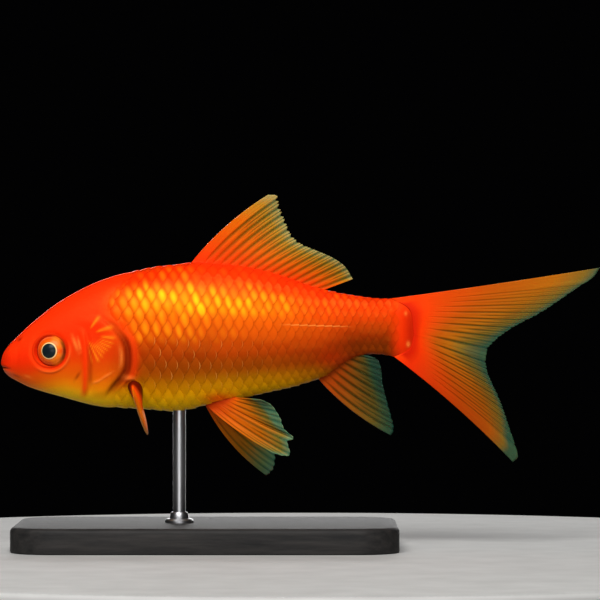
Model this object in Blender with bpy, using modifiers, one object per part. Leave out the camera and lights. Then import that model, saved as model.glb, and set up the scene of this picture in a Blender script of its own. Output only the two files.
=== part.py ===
"""A common goldfish, life size, as a still display model held on one rod above a flat base.

Metres, +Z up. The fish looks towards -X, its tail is at +X, and its left side faces -Y. The
plane y = 0 is the fish's own plane of symmetry, and z = 0 is the underside of the base.

The fish's proportions are fractions of its standard length, the way ichthyologists measure one:
"along" runs from the tip of the snout to the root of the tail fin, and "height" is measured from
the level of the mouth. The body is one loft. Thin cuts divide it into head, jaw, gill covers,
trunk and tail stalk, and each fin is a fan of stiff rays whose root follows the body.
"""

import math

import bmesh
import bpy
from mathutils import Matrix, Vector


# ---------------------------------------------------------------- driving dimensions

STANDARD_LENGTH = 0.096         # tip of the snout to the root of the tail fin
SNOUT_X = -0.07025              # the whole fish, tail fin included, is centred on x = 0
SNOUT_Z = 0.0442                # level of the mouth above the underside of the base
BODY_END = 1.032                # the flesh runs on a little way inside the tail fin's root
CUT = 0.0003                    # thin cut between neighbouring parts
PAST_THE_BODY = 0.020           # cutting shapes reach this far to each side

RINGS = 40                      # sections of the body loft
RING_POINTS = 24                # points round one section
SNOUT_ROUND = 0.028             # length of the blunt nose, as a fraction of the standard length
STALK_ROUND = 0.016             # length of the rounded hind end
WIDEST_LEVEL = 0.50             # the section is widest half way up
FLANK_FULLNESS = 0.90           # below 1 the flanks are fuller than an ellipse

GILL_COVER_DEPTH = 0.0016       # thickness of the bony cover over the gills
EYE_RADIUS = 0.0040             # across the eyeball
EYE_HALF_DEPTH = 0.0031         # the eyeball is slightly flattened from side to side
EYE_SUNK = 0.0018               # its centre lies this far under the cheek's surface

FIN_EDGE = 0.00055              # thickness of a fin between its rays
RAY_ROOT = 0.0012               # thickness of a ray at the body
RAY_TIP = 0.0007                # thickness of a ray at the fin's edge
SCALLOP = 0.022                 # the web between two rays stops this much short of their tips
DORSAL_WAVE = 0.0012            # how far the dorsal fin's edge waves to each side
ANAL_WAVE = 0.0010
UPPER_SWEEP = 0.004             # the upper tail lobe's tip leans this far to the left
LOWER_SWEEP = 0.006             # and the lower one's to the right

PELVIC_APART = 0.0012           # the first pelvic ray starts this far from the middle plane
PELVIC_FLARE = 0.0008           # and the last one this much further out
PECTORAL_LENGTH = 0.0164
PECTORAL_HALF_CHORD = 0.0046    # half the paddle's width
PECTORAL_HALF_ROOT = 0.0019     # half the width of its root
PECTORAL_SPREAD = 62            # degrees from its middle ray to its first and last ones
PECTORAL_DROOP = 42             # degrees that the paddle hangs below level
PECTORAL_LIFT = 26              # degrees that the right one is held higher
PECTORAL_SUNK = 0.0010          # its root lies this far under the shoulder's surface
PECTORAL_CUP = 0.0003           # the blade is this hollow

BASE_LENGTH = 0.090
BASE_WIDTH = 0.052
BASE_THICKNESS = 0.006
BASE_X = -0.022                 # the base lies under the fish's centre of mass
BASE_CORNER = 0.010
BASE_RIM = 0.0012
ROD_RADIUS = 0.0015
ROD_ALONG = 0.436               # the rod enters the belly between pectoral and pelvic fins
ROD_IN_BELLY = 0.007
ROD_IN_BASE = 0.004

# Sections of the body: along, back, belly and half width, in fractions of the standard length.
BODY_STATIONS = (
    (0.000, 0.030, -0.037, 0.026),
    (0.020, 0.040, -0.042, 0.035),
    (0.069, 0.086, -0.066, 0.052),
    (0.142, 0.143, -0.088, 0.069),
    (0.240, 0.194, -0.113, 0.084),
    (0.362, 0.228, -0.122, 0.092),
    (0.430, 0.237, -0.126, 0.093),
    (0.485, 0.241, -0.116, 0.091),
    (0.632, 0.224, -0.085, 0.075),
    (0.780, 0.177, -0.046, 0.051),
    (0.860, 0.161, 0.004, 0.036),
    (0.926, 0.152, 0.013, 0.027),
    (1.000, 0.154, -0.002, 0.022),
    (BODY_END, 0.152, 0.000, 0.019),
)

# The rear edge of the head from nape to throat: height, along. Its middle is the gill opening.
HEAD_EDGE = (
    (-0.150, 0.250),
    (-0.100, 0.254),
    (-0.069, 0.269),
    (-0.025, 0.303),
    (0.010, 0.309),
    (0.045, 0.301),
    (0.080, 0.274),
    (0.110, 0.243),
    (0.140, 0.240),
    (0.170, 0.254),
    (0.210, 0.286),
    (0.300, 0.330),
)
# The front edge of the gill cover: height, along.
COVER_FRONT = (
    (-0.080, 0.210),
    (-0.012, 0.197),
    (0.040, 0.196),
    (0.100, 0.212),
)
COVER_LOW = -0.074
COVER_HIGH = 0.101
COVER_BLOCK = 0.005             # the cutting block stands this far out of the cheek
REAR_OVERLAP = 8                # thin cuts by which the block reaches past the head's edge
ZONE_LOW = -0.15                # cutting plates reach from under the belly
ZONE_HIGH = 0.30                # to above the back
ZONE_FRONT = -0.1               # and from before the snout
ZONE_REAR = 1.2                 # to behind the tail stalk

STALK_FRONT = 0.868             # trunk and tail stalk part behind the anal fin
EYE_ALONG = 0.1205
EYE_HEIGHT = 0.0238
SHOULDER = (0.334, -0.063)      # root of the pectoral fin: along, height

# The mouth slit and the hind edge of the lower jaw: along, height.
JAW_OUTLINE = (
    (-0.030, -0.0165),
    (0.012, -0.0195),
    (0.030, -0.0290),
    (0.046, -0.0470),
    (0.060, -0.0900),
    (-0.030, -0.0900),
)

GOLDFISH = bpy.data.collections.new("goldfish")
CUTTERS = bpy.data.collections.new("cutters")


def clear_scene():
    for obj in list(bpy.data.objects):
        bpy.data.objects.remove(obj, do_unlink=True)
    for collection in (GOLDFISH, CUTTERS):
        bpy.context.scene.collection.children.link(collection)


# ---------------------------------------------------------------- smooth curves

def hermite(before, start, end, after, t):
    """Smooth step from start to end, where each point is (parameter, values)."""
    span = end[0] - start[0]
    values = []
    for b, s, e, a in zip(before[1], start[1], end[1], after[1]):
        slope_start = (e - b) / (end[0] - before[0]) * span
        slope_end = (a - s) / (after[0] - start[0]) * span
        cubic = 2 * s - 2 * e + slope_start + slope_end
        square = -3 * s + 3 * e - 2 * slope_start - slope_end
        values.append(((cubic * t + square) * t + slope_start) * t + s)
    return values


def smooth(stations, where):
    """Values at one place of a smooth curve through stations of (parameter, value, ...)."""
    points = [(station[0], station[1:]) for station in stations]
    where = min(max(where, points[0][0]), points[-1][0])
    index = 0
    while index < len(points) - 2 and where > points[index + 1][0]:
        index += 1
    start, end = points[index], points[index + 1]
    before = points[max(index - 1, 0)]
    after = points[min(index + 2, len(points) - 1)]
    return hermite(before, start, end, after, (where - start[0]) / (end[0] - start[0]))


def by_distance(points):
    """Turn a list of points into stations whose parameter runs from 0 to 1 by distance."""
    reach = [0.0]
    for first, second in zip(points, points[1:]):
        reach.append(reach[-1] + math.dist(first, second))
    return [(length / reach[-1], *point) for length, point in zip(reach, points)]


# ---------------------------------------------------------------- the body's surface

def place(along, height, side=0.0):
    """A point from the fish's proportions; side is in metres, towards +Y."""
    x = SNOUT_X + along * STANDARD_LENGTH
    z = SNOUT_Z + height * STANDARD_LENGTH
    return Vector((x, side, z))


def rounding(along):
    """Shrinks the sections to nothing at the blunt nose and at the hind end."""
    nose = min(max(1 - along / SNOUT_ROUND, 0.0), 1.0)
    stalk = min(max(1 - (BODY_END - along) / STALK_ROUND, 0.0), 1.0)
    return math.sqrt(1 - nose ** 2) * math.sqrt(1 - stalk ** 2)


def section(along):
    """Middle height, reach up, reach down and half width of the body, all in metres."""
    back, belly, half_width = smooth(BODY_STATIONS, along)
    middle = belly + WIDEST_LEVEL * (back - belly)
    full = rounding(along) * STANDARD_LENGTH
    height = SNOUT_Z + middle * STANDARD_LENGTH
    return height, (back - middle) * full, (middle - belly) * full, half_width * full


def flank(along, height):
    """Half width of the body at one place of its side, in metres."""
    middle, up, down, half_width = section(along)
    rise = place(along, height).z - middle
    share = min(abs(rise) / (up if rise > 0 else down), 1.0)
    return half_width * math.sqrt(1 - share ** 2) ** FLANK_FULLNESS


def body_point(direction, grow):
    """Where a point of a unit sphere with its poles on X lies on the body, grown by a margin."""
    ring = math.hypot(direction.y, direction.z)
    along = BODY_END * (1 + direction.x) / 2
    middle, up, down, half_width = section(along)
    margin = grow * math.sqrt(ring)
    x = place(along, 0).x + grow * direction.x
    if ring < 1e-6:
        return Vector((x, 0.0, middle))
    across = direction.y / ring
    rise = direction.z / ring
    full_across = math.copysign(abs(across) ** FLANK_FULLNESS, across)
    reach = (up if rise > 0 else down) + margin
    return Vector((x, (half_width + margin) * full_across, middle + reach * rise))


# ---------------------------------------------------------------- objects and cuts

def finish(name, colour, roughness, metallic=0.0):
    material = bpy.data.materials.new(name)
    material.use_nodes = True
    shader = material.node_tree.nodes["Principled BSDF"]
    shader.inputs["Base Color"].default_value = (*colour, 1.0)
    shader.inputs["Roughness"].default_value = roughness
    shader.inputs["Metallic"].default_value = metallic
    return material


def object_from(name, bm, collection, material=None):
    """Close a bmesh into an object with its faces pointing out."""
    bmesh.ops.recalc_face_normals(bm, faces=bm.faces)
    mesh = bpy.data.meshes.new(name)
    bm.to_mesh(mesh)
    bm.free()
    obj = bpy.data.objects.new(name, mesh)
    collection.objects.link(obj)
    if material:
        mesh.materials.append(material)
        mesh.shade_smooth()
        mesh.set_sharp_from_angle(angle=math.radians(40))
    else:
        obj.hide_render = True
        obj.display_type = "WIRE"
    return obj


def cut(obj, cutter, operation="DIFFERENCE"):
    modifier = obj.modifiers.new(f"{operation.lower()} {cutter.name}", "BOOLEAN")
    modifier.operation = operation
    modifier.solver = "EXACT"
    modifier.object = cutter


def plate(name, outline):
    """A cutter: an outline of (along, height) points, wider than the body on both sides."""
    curve = bpy.data.curves.new(name, "CURVE")
    curve.dimensions = "2D"
    curve.fill_mode = "BOTH"
    curve.extrude = PAST_THE_BODY
    spline = curve.splines.new("POLY")
    spline.points.add(len(outline) - 1)
    spline.use_cyclic_u = True
    for point, (along, height) in zip(spline.points, outline):
        spot = place(along, height)
        point.co = (spot.x, spot.z, 0.0, 1.0)
    flat = bpy.data.objects.new(name, curve)
    flat.matrix_world = Matrix.Rotation(math.pi / 2, 4, "X")
    CUTTERS.objects.link(flat)
    bpy.context.view_layer.update()
    depsgraph = bpy.context.evaluated_depsgraph_get()
    mesh = bpy.data.meshes.new_from_object(flat.evaluated_get(depsgraph))
    solid = bmesh.new()
    solid.from_mesh(mesh)
    bmesh.ops.remove_doubles(solid, verts=solid.verts, dist=0.000001)
    obj = object_from(name + "_cutter", solid, CUTTERS)
    obj.matrix_world = flat.matrix_world.copy()
    bpy.data.objects.remove(flat, do_unlink=True)
    return obj


def ellipsoid(name, centre, radii, segments, rings, collection, material=None):
    """An ellipsoid whose poles lie on the Y axis."""
    bm = bmesh.new()
    bmesh.ops.create_uvsphere(bm, u_segments=segments, v_segments=rings, radius=1.0)
    bmesh.ops.rotate(bm, verts=bm.verts, matrix=Matrix.Rotation(math.pi / 2, 3, "X"))
    bmesh.ops.scale(bm, verts=bm.verts, vec=radii)
    bmesh.ops.translate(bm, verts=bm.verts, vec=centre)
    return object_from(name, bm, collection, material)


def upright_cylinder(name, radius, spot, low, high, collection, material=None):
    bm = bmesh.new()
    bmesh.ops.create_cone(bm, cap_ends=True, segments=20, radius1=radius, radius2=radius,
                          depth=high - low)
    bmesh.ops.translate(bm, verts=bm.verts, vec=(spot.x, spot.y, (low + high) / 2))
    return object_from(name, bm, collection, material)


# ---------------------------------------------------------------- head, trunk and tail stalk

def whole_body(name, grow, collection, material=None):
    """The body in one piece: a sphere's rings, each turned into one section of the fish."""
    bm = bmesh.new()
    bmesh.ops.create_uvsphere(bm, u_segments=RING_POINTS, v_segments=RINGS, radius=1.0)
    bmesh.ops.rotate(bm, verts=bm.verts, matrix=Matrix.Rotation(math.pi / 2, 3, "Y"))
    for vert in bm.verts:
        vert.co = body_point(vert.co.normalized(), grow)
    return object_from(name, bm, collection, material)


def edge_points(stations, low, high, shift, steps=18):
    """Points (along, height) down a body edge, moved back by shift metres."""
    points = []
    for step in range(steps + 1):
        height = high + (low - high) * step / steps
        along, = smooth(stations, height)
        points.append((along + shift / STANDARD_LENGTH, height))
    return points


def head_zone():
    edge = edge_points(HEAD_EDGE, ZONE_LOW, ZONE_HIGH, 0.0)
    return plate("head_zone", [(ZONE_FRONT, ZONE_HIGH), *edge, (ZONE_FRONT, ZONE_LOW)])


def trunk_zone():
    edge = edge_points(HEAD_EDGE, ZONE_LOW, ZONE_HIGH, CUT)
    return plate("trunk_zone", [*edge, (STALK_FRONT, ZONE_LOW), (STALK_FRONT, ZONE_HIGH)])


def stalk_zone():
    front = STALK_FRONT + CUT / STANDARD_LENGTH
    return plate("stalk_zone", [(front, ZONE_LOW), (ZONE_REAR, ZONE_LOW),
                                (ZONE_REAR, ZONE_HIGH), (front, ZONE_HIGH)])


def gill_block(name, side, clearance):
    """A curved slab that reaches a gill cover's depth into one side of the head."""
    bm = bmesh.new()
    bmesh.ops.create_grid(bm, x_segments=7, y_segments=10, size=1.0)
    margin = clearance / STANDARD_LENGTH
    for vert in bm.verts:
        backwards = (vert.co.x + 1) / 2
        upwards = (vert.co.y + 1) / 2
        height = COVER_LOW - margin + (COVER_HIGH - COVER_LOW + 2 * margin) * upwards
        front = smooth(COVER_FRONT, height)[0] - margin
        rear = smooth(HEAD_EDGE, height)[0] + REAR_OVERLAP * margin
        along = front + (rear - front) * backwards
        inner = flank(along, height) - GILL_COVER_DEPTH - clearance
        vert.co = place(along, height, side * inner)
    outside = bmesh.ops.extrude_face_region(bm, geom=bm.faces[:])
    for element in outside["geom"]:
        if isinstance(element, bmesh.types.BMVert):
            element.co.y += side * COVER_BLOCK
    return object_from(name, bm, CUTTERS)


def eye_centre(side):
    depth = flank(EYE_ALONG, EYE_HEIGHT) - EYE_SUNK
    return place(EYE_ALONG, EYE_HEIGHT, side * depth)


def eye_shape(name, side, grow, collection, material=None):
    radii = (EYE_RADIUS + grow, EYE_HALF_DEPTH + grow, EYE_RADIUS + grow)
    return ellipsoid(name, eye_centre(side), radii, 18, 9, collection, material)


def make_head(material):
    head = whole_body("head", 0.0, GOLDFISH, material)
    cut(head, head_zone(), "INTERSECT")
    for side, label in ((-1, "left"), (1, "right")):
        cut(head, gill_block(f"gill_pocket_{label}", side, CUT))
        cut(head, eye_shape(f"eye_socket_{label}", side, CUT, CUTTERS))
    cut(head, plate("jaw_gap", widened(JAW_OUTLINE)))


def widened(outline):
    """The jaw's outline with the thin cut added along the mouth slit and the hind edge."""
    margin = CUT / STANDARD_LENGTH
    return [(along + margin * (along > 0), height + margin * (height > -0.06))
            for along, height in outline]


def make_jaw(material):
    jaw = whole_body("lower_jaw", 0.0, GOLDFISH, material)
    cut(jaw, plate("jaw_zone", JAW_OUTLINE), "INTERSECT")


def make_gill_cover(side, label, material):
    cover = whole_body(f"gill_cover_{label}", 0.0, GOLDFISH, material)
    cut(cover, gill_block(f"gill_block_{label}", side, 0.0), "INTERSECT")


def make_trunk(material):
    trunk = whole_body("trunk", 0.0, GOLDFISH, material)
    cut(trunk, trunk_zone(), "INTERSECT")
    low, high = belly_level() - 0.002, belly_level() + ROD_IN_BELLY
    cut(trunk, upright_cylinder("rod_socket", ROD_RADIUS + CUT, place(ROD_ALONG, 0), low,
                                high, CUTTERS))


def make_tail_stalk(material):
    stalk = whole_body("tail_stalk", 0.0, GOLDFISH, material)
    cut(stalk, stalk_zone(), "INTERSECT")


# ---------------------------------------------------------------- fins

def fin_fan(name, rays, rows, point_at, material, clear_of):
    """A fan of rays. point_at(fan, out) gives a point from the first ray to the last, and from
    the root to the edge; the sheet is thick along the rays and thin in the webs between them."""
    bm = bmesh.new()
    columns = 2 * (rays - 1)
    bmesh.ops.create_grid(bm, x_segments=columns, y_segments=rows, size=1.0)
    stiffness = bm.verts.layers.deform.verify()
    for vert in bm.verts:
        column = round((vert.co.x + 1) / 2 * columns)
        out = (vert.co.y + 1) / 2
        on_ray = column % 2 == 0
        thickness = RAY_ROOT + (RAY_TIP - RAY_ROOT) * out if on_ray else FIN_EDGE
        vert[stiffness][0] = thickness / RAY_ROOT
        reach = out if on_ray else out * (1 - SCALLOP)
        vert.co = point_at(column / columns, reach)
    fin = object_from(name, bm, GOLDFISH, material)
    fin.vertex_groups.new(name="stiffness")
    solid = fin.modifiers.new("thickness", "SOLIDIFY")
    solid.thickness = RAY_ROOT
    solid.offset = 0.0
    solid.vertex_group = "stiffness"
    solid.thickness_vertex_group = 0.0
    for body in clear_of:
        cut(fin, body)
    return fin


def fan_between(root, tips, bow=0.0, lateral=lambda fan, out: 0.0):
    """A rule for fin_fan: rays run from the root line to the line of their tips, in side view.
    bow arches the first ray outwards by that share of its length and the last one not at all."""
    root_line = by_distance(root)
    tip_line = by_distance(tips)

    def point_at(fan, out):
        start = Vector(smooth(root_line, fan))
        end = Vector(smooth(tip_line, fan))
        ray = end - start
        arch = Vector((-ray.y, ray.x)) * bow * (1 - fan) * 4 * out * (1 - out)
        spot = start + ray * out + arch
        return place(spot.x, spot.y, lateral(fan, out))

    return point_at


def make_dorsal_fin(material, body):
    root = ((0.459, 0.231), (0.608, 0.212), (0.706, 0.187), (0.774, 0.166))
    tips = ((0.654, 0.405), (0.676, 0.402), (0.683, 0.376), (0.697, 0.341), (0.711, 0.308),
            (0.736, 0.285), (0.811, 0.251), (0.842, 0.229), (0.861, 0.199))

    def wave(fan, out):
        return DORSAL_WAVE * out * math.sin(2.2 * math.pi * fan)

    fin_fan("dorsal_fin", 17, 5, fan_between(root, tips, 0.045, wave), material, [body])


def make_anal_fin(material, body):
    root = ((0.768, -0.036), (0.812, -0.004), (0.860, 0.020))
    tips = ((0.954, -0.184), (0.962, -0.169), (0.948, -0.110), (0.935, -0.061), (0.930, -0.018),
            (0.921, 0.001), (0.905, 0.008))

    def wave(fan, out):
        return ANAL_WAVE * out * math.sin(1.5 * math.pi * fan)

    fin_fan("anal_fin", 8, 5, fan_between(root, tips, -0.05, wave), material, [body])


def make_tail_fin(material, body):
    gap = CUT / STANDARD_LENGTH
    upper_root = ((0.955, 0.151), (1.000, 0.122), (1.010, 0.062))
    upper_tips = ((1.463, 0.226), (1.448, 0.204), (1.409, 0.176), (1.325, 0.118),
                  (1.248, 0.076), (1.198, 0.035), (1.187, 0.010))
    lower_root = ((0.963, 0.008), (1.000, 0.028), (1.010, 0.062 - gap))
    lower_tips = ((1.257, -0.252), (1.269, -0.238), (1.246, -0.160), (1.226, -0.103),
                  (1.193, -0.030), (1.187, 0.010 - gap))

    def sweep_left(fan, out):
        return -UPPER_SWEEP * (1 - fan) * out ** 2

    def sweep_right(fan, out):
        return LOWER_SWEEP * (1 - fan) * out ** 2

    fin_fan("tail_fin_upper", 10, 7, fan_between(upper_root, upper_tips, -0.004, sweep_left),
            material, [body])
    fin_fan("tail_fin_lower", 10, 7, fan_between(lower_root, lower_tips, 0.021, sweep_right),
            material, [body])


def make_pelvic_fin(side, label, tips, bow, splay, material, body):
    root = ((0.498, -0.108), (0.535, -0.098), (0.568, -0.090))

    def spread(fan, out):
        return side * (PELVIC_APART + PELVIC_FLARE * fan + splay * out)

    fin_fan(f"pelvic_fin_{label}", 8, 5, fan_between(root, tips, bow, spread), material, [body])


def make_pelvic_fins(material, body):
    """The left fin is swept back further than the right one, which hangs lower."""
    left_tips = ((0.664, -0.222), (0.689, -0.230), (0.708, -0.229), (0.706, -0.214),
                 (0.702, -0.196), (0.717, -0.188), (0.694, -0.166), (0.684, -0.139),
                 (0.662, -0.107), (0.637, -0.094))
    right_tips = ((0.648, -0.288), (0.664, -0.275), (0.670, -0.242), (0.656, -0.195),
                  (0.632, -0.150), (0.605, -0.112))
    make_pelvic_fin(-1, "left", left_tips, -0.03, 0.0085, material, body)
    make_pelvic_fin(1, "right", right_tips, -0.062, 0.0100, material, body)


def make_pectoral_fin(side, label, lift, material, body):
    """A paddle held out from the shoulder and down, its blade facing the water ahead."""
    shoulder = place(*SHOULDER)
    shoulder.y = side * (flank(*SHOULDER) - PECTORAL_SUNK)
    down = math.radians(PECTORAL_DROOP - lift)
    axis = Vector((0.16, side * math.cos(down), -math.sin(down))).normalized()
    chord = Vector((0.38, side * -math.sin(down), -math.cos(down))).normalized()

    def point_at(fan, out):
        turn = math.radians(PECTORAL_SPREAD * (2 * fan - 1))
        reach = PECTORAL_LENGTH * (1.0 - 0.30 * abs(2 * fan - 0.9) ** 2)
        rim = axis * (reach * (0.35 + 0.65 * math.cos(turn)))
        rim += chord * (PECTORAL_HALF_CHORD * math.sin(turn))
        root = chord * (PECTORAL_HALF_ROOT * (2 * fan - 1))
        cup = Vector((PECTORAL_CUP * out * (1 - abs(2 * fan - 1)), 0.0, 0.0))
        return shoulder + root + (rim - root) * out + cup

    fin_fan(f"pectoral_fin_{label}", 8, 4, point_at, material, [body])


# ---------------------------------------------------------------- the stand

def belly_level():
    middle, _, down, _ = section(ROD_ALONG)
    return middle - down


def make_base(material):
    """A flat plate with rounded corners and a softened upper rim."""
    bm = bmesh.new()
    bmesh.ops.create_cube(bm, size=1.0)
    bmesh.ops.scale(bm, verts=bm.verts, vec=(BASE_LENGTH, BASE_WIDTH, BASE_THICKNESS))
    bmesh.ops.translate(bm, verts=bm.verts, vec=(BASE_X, 0, BASE_THICKNESS / 2))
    upright = [edge for edge in bm.edges if abs(edge.verts[0].co.z - edge.verts[1].co.z) > CUT]
    bmesh.ops.bevel(bm, geom=upright, offset=BASE_CORNER, offset_type="OFFSET", segments=6,
                    profile=0.5, affect="EDGES", material=-1)
    rim = [edge for edge in bm.edges if min(v.co.z for v in edge.verts) > BASE_THICKNESS - CUT]
    bmesh.ops.bevel(bm, geom=rim, offset=BASE_RIM, offset_type="OFFSET", segments=2,
                    profile=0.5, affect="EDGES", material=-1)
    base = object_from("stand_base", bm, GOLDFISH, material)
    floor = BASE_THICKNESS - ROD_IN_BASE - CUT
    cut(base, upright_cylinder("rod_hole", ROD_RADIUS + CUT, place(ROD_ALONG, 0), floor,
                               BASE_THICKNESS + 0.002, CUTTERS))


def make_rod(material):
    low = BASE_THICKNESS - ROD_IN_BASE
    high = belly_level() + ROD_IN_BELLY - CUT
    upright_cylinder("stand_rod", ROD_RADIUS, place(ROD_ALONG, 0), low, high, GOLDFISH, material)


# ---------------------------------------------------------------- the model

def main():
    clear_scene()
    skin = finish("skin", (0.93, 0.17, 0.01), 0.35)
    gill = finish("gill cover", (0.80, 0.13, 0.01), 0.30)
    fin = finish("fin", (0.62, 0.20, 0.03), 0.40)
    eye = finish("eye", (0.85, 0.32, 0.05), 0.08)
    black_wood = finish("black wood", (0.02, 0.02, 0.022), 0.35)
    steel = finish("steel", (0.62, 0.62, 0.63), 0.25, 1.0)

    make_head(skin)
    make_jaw(skin)
    make_trunk(skin)
    make_tail_stalk(skin)
    clear_of_body = whole_body("body_clearance", CUT, CUTTERS)
    make_dorsal_fin(fin, clear_of_body)
    make_anal_fin(fin, clear_of_body)
    make_tail_fin(fin, clear_of_body)
    make_pelvic_fins(fin, clear_of_body)
    for side, label in ((-1, "left"), (1, "right")):
        make_gill_cover(side, label, gill)
        eye_shape(f"eye_{label}", side, 0.0, GOLDFISH, eye)
        make_pectoral_fin(side, label, 0 if side < 0 else PECTORAL_LIFT, fin, clear_of_body)
    make_base(black_wood)
    make_rod(steel)


main()
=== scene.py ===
# %% [markdown]
# # A common goldfish, life size, on a display stand
# A museum model of a goldfish is one skin over the whole body, a coat of overlapping scales,
# clear-edged fins stiffened by rays, and two glassy eyes. A rod on a dark base holds it up.
# The imported model already has the right size and outline. This script dresses it: every piece
# takes its place from the imported model.

import math

import bmesh
import bpy
import numpy as np
from mathutils import Matrix, Vector


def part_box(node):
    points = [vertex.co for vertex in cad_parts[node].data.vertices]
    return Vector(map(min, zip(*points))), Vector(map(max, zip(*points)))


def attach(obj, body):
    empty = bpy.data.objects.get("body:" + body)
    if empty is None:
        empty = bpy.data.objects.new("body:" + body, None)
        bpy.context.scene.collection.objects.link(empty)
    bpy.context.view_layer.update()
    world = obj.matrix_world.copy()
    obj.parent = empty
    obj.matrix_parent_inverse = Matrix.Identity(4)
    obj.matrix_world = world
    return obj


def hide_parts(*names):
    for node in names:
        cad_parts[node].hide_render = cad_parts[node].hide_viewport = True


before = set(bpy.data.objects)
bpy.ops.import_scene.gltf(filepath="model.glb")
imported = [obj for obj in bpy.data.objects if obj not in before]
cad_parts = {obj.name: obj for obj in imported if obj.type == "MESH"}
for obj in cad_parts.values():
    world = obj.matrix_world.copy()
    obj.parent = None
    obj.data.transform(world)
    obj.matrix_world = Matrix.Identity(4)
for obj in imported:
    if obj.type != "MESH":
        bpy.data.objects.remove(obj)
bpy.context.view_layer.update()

# %% [markdown]
# ## Proportions
# Fish are measured by their standard length, from the tip of the snout to the root of the tail
# fin. All places below are fractions of it: "along" from the snout, and "height" above the mouth.
# The model could hold metres everywhere, but fractions read like a description of the animal.

# %% Standard length and the mouth's place
BODY_END = 1.032                # the flesh runs on a little way inside the tail fin's root
EYE = (0.1205, 0.0238)          # along and height of the eye's middle
MM = 0.001                      # one millimetre, in metres

SNOUT_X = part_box("head")[0].x
LENGTH = (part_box("tail_stalk")[1].x - SNOUT_X) / BODY_END
LENGTH_MM = LENGTH / MM
MOUTH_Z = sum(corner.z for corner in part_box("eye_left")) / 2 - EYE[1] * LENGTH
print(f"standard length {LENGTH_MM:.1f} mm, mouth {MOUTH_Z / MM:.1f} mm above the table")

# %% [markdown]
# ## Camera, floor and light
# The fish is seen square from its left side, from far away, so a long lens is used and hardly any
# perspective shows. A pale round table and soft lamps are all that the studio holds. The lamps
# stay dark behind the fish, so that thin bright rims draw its outline.

# %% Camera
VIEW_DISTANCE = 0.9
VIEW_WIDTH = 1.470588 * LENGTH  # the frame is this wide at the fish
EYE_LEVEL = 0.05835
SENSOR = 36.0

bpy.context.scene.view_settings.view_transform = "Standard"
camera_data = bpy.data.cameras.new("camera")
camera_data.sensor_width = SENSOR
camera_data.lens = SENSOR * VIEW_DISTANCE / VIEW_WIDTH
camera = bpy.data.objects.new("camera", camera_data)
camera.location = (0.0, -VIEW_DISTANCE, EYE_LEVEL)
camera.rotation_euler = (math.pi / 2, 0.0, 0.0)
bpy.context.scene.collection.objects.link(camera)
bpy.context.scene.camera = camera
print(f"lens {camera_data.lens:.0f} mm")


# %% Helpers for meshes
def object_from(name, bm, material=None, sharp=50):
    mesh = bpy.data.meshes.new(name)
    bm.to_mesh(mesh)
    bm.free()
    mesh.shade_smooth()
    mesh.set_sharp_from_angle(angle=math.radians(sharp))
    made = bpy.data.objects.new(name, mesh)
    bpy.context.scene.collection.objects.link(made)
    if material:
        mesh.materials.append(material)
    return made


def soften(bm, edges, offset, segments):
    bmesh.ops.bevel(bm, geom=edges, offset=offset, segments=segments, profile=0.5,
                    affect="EDGES", material=-1)


# %% Colours
WHITE = (1.0, 1.0, 1.0, 1.0)


def paint(red, green, blue):
    """A colour in the 0 to 255 steps of a screen, turned into linear light."""
    steps = [channel / 255 for channel in (red, green, blue)]
    light = [((s + 0.055) / 1.055) ** 2.4 if s > 0.04045 else s / 12.92 for s in steps]
    return (*light, 1.0)


def painted(*stops):
    """Stops of a colour ramp, from rows of position, red, green and blue."""
    return [(position, paint(*colour)) for position, *colour in stops]


# %% [markdown]
# ## Shader nodes as arithmetic
# A procedural material is a sum over a few noises and stored numbers. Dozens of Math nodes would
# hide that sum, so what comes out of a node is wrapped here: +, -, * and / add the Math node
# that does it, and the colour rules below read like the sums they are.

# %% What comes out of a node
def node(tree, kind, inputs=None, output=0, **settings):
    """Add a shader node and give one of its outputs. Its sockets take numbers, colours or
    the outputs of other nodes."""
    made = tree.nodes.new("ShaderNode" + kind)
    for name, value in settings.items():
        setattr(made, name, value)
    for socket, value in (inputs or {}).items():
        if isinstance(value, Value):
            tree.links.new(value.socket, made.inputs[socket])
        else:
            made.inputs[socket].default_value = value
    return Value(tree, made.outputs[output])


class Value:
    def __init__(self, tree, socket):
        self.tree = tree
        self.socket = socket

    def math(self, operation, other=0.0):
        return node(self.tree, "Math", {0: self, 1: other}, operation=operation)

    def __add__(self, other):
        return self.math("ADD", other)

    def __sub__(self, other):
        return self.math("SUBTRACT", other)

    def __rsub__(self, other):
        return node(self.tree, "Math", {0: other, 1: self}, operation="SUBTRACT")

    def __mul__(self, other):
        return self.math("MULTIPLY", other)

    def __truediv__(self, other):
        return self.math("DIVIDE", other)

    def __abs__(self):
        return self.math("ABSOLUTE")

    def step(self, low, high):
        """0 up to low, 1 from high on, smooth between."""
        return node(self.tree, "MapRange", {"Value": self, "From Min": low, "From Max": high},
                    interpolation_type="SMOOTHSTEP")

    def ramp(self, stops, blend="LINEAR"):
        """A colour from (position, colour) stops. CARDINAL runs through them without kinks."""
        made = node(self.tree, "ValToRGB", {"Fac": self})
        colours = made.socket.node.color_ramp
        colours.interpolation = blend
        for position, colour in stops[1:-1]:
            colours.elements.new(position)
        for element, (position, colour) in zip(colours.elements, stops):
            element.position = position
            element.color = colour
        return made

    def toward(self, colour, share, blend="MIX"):
        """This colour, changed by a share of another one."""
        return node(self.tree, "Mix", {0: share, 6: self, 7: colour}, 2, data_type="RGBA",
                    blend_type=blend)

    def into(self, shader, socket):
        self.tree.links.new(self.socket, shader.inputs[socket])


# %% Where the numbers come from
def layer(tree, name):
    """One number that is stored on the piece's own points."""
    return node(tree, "Attribute", output="Fac", attribute_name=name)


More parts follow.
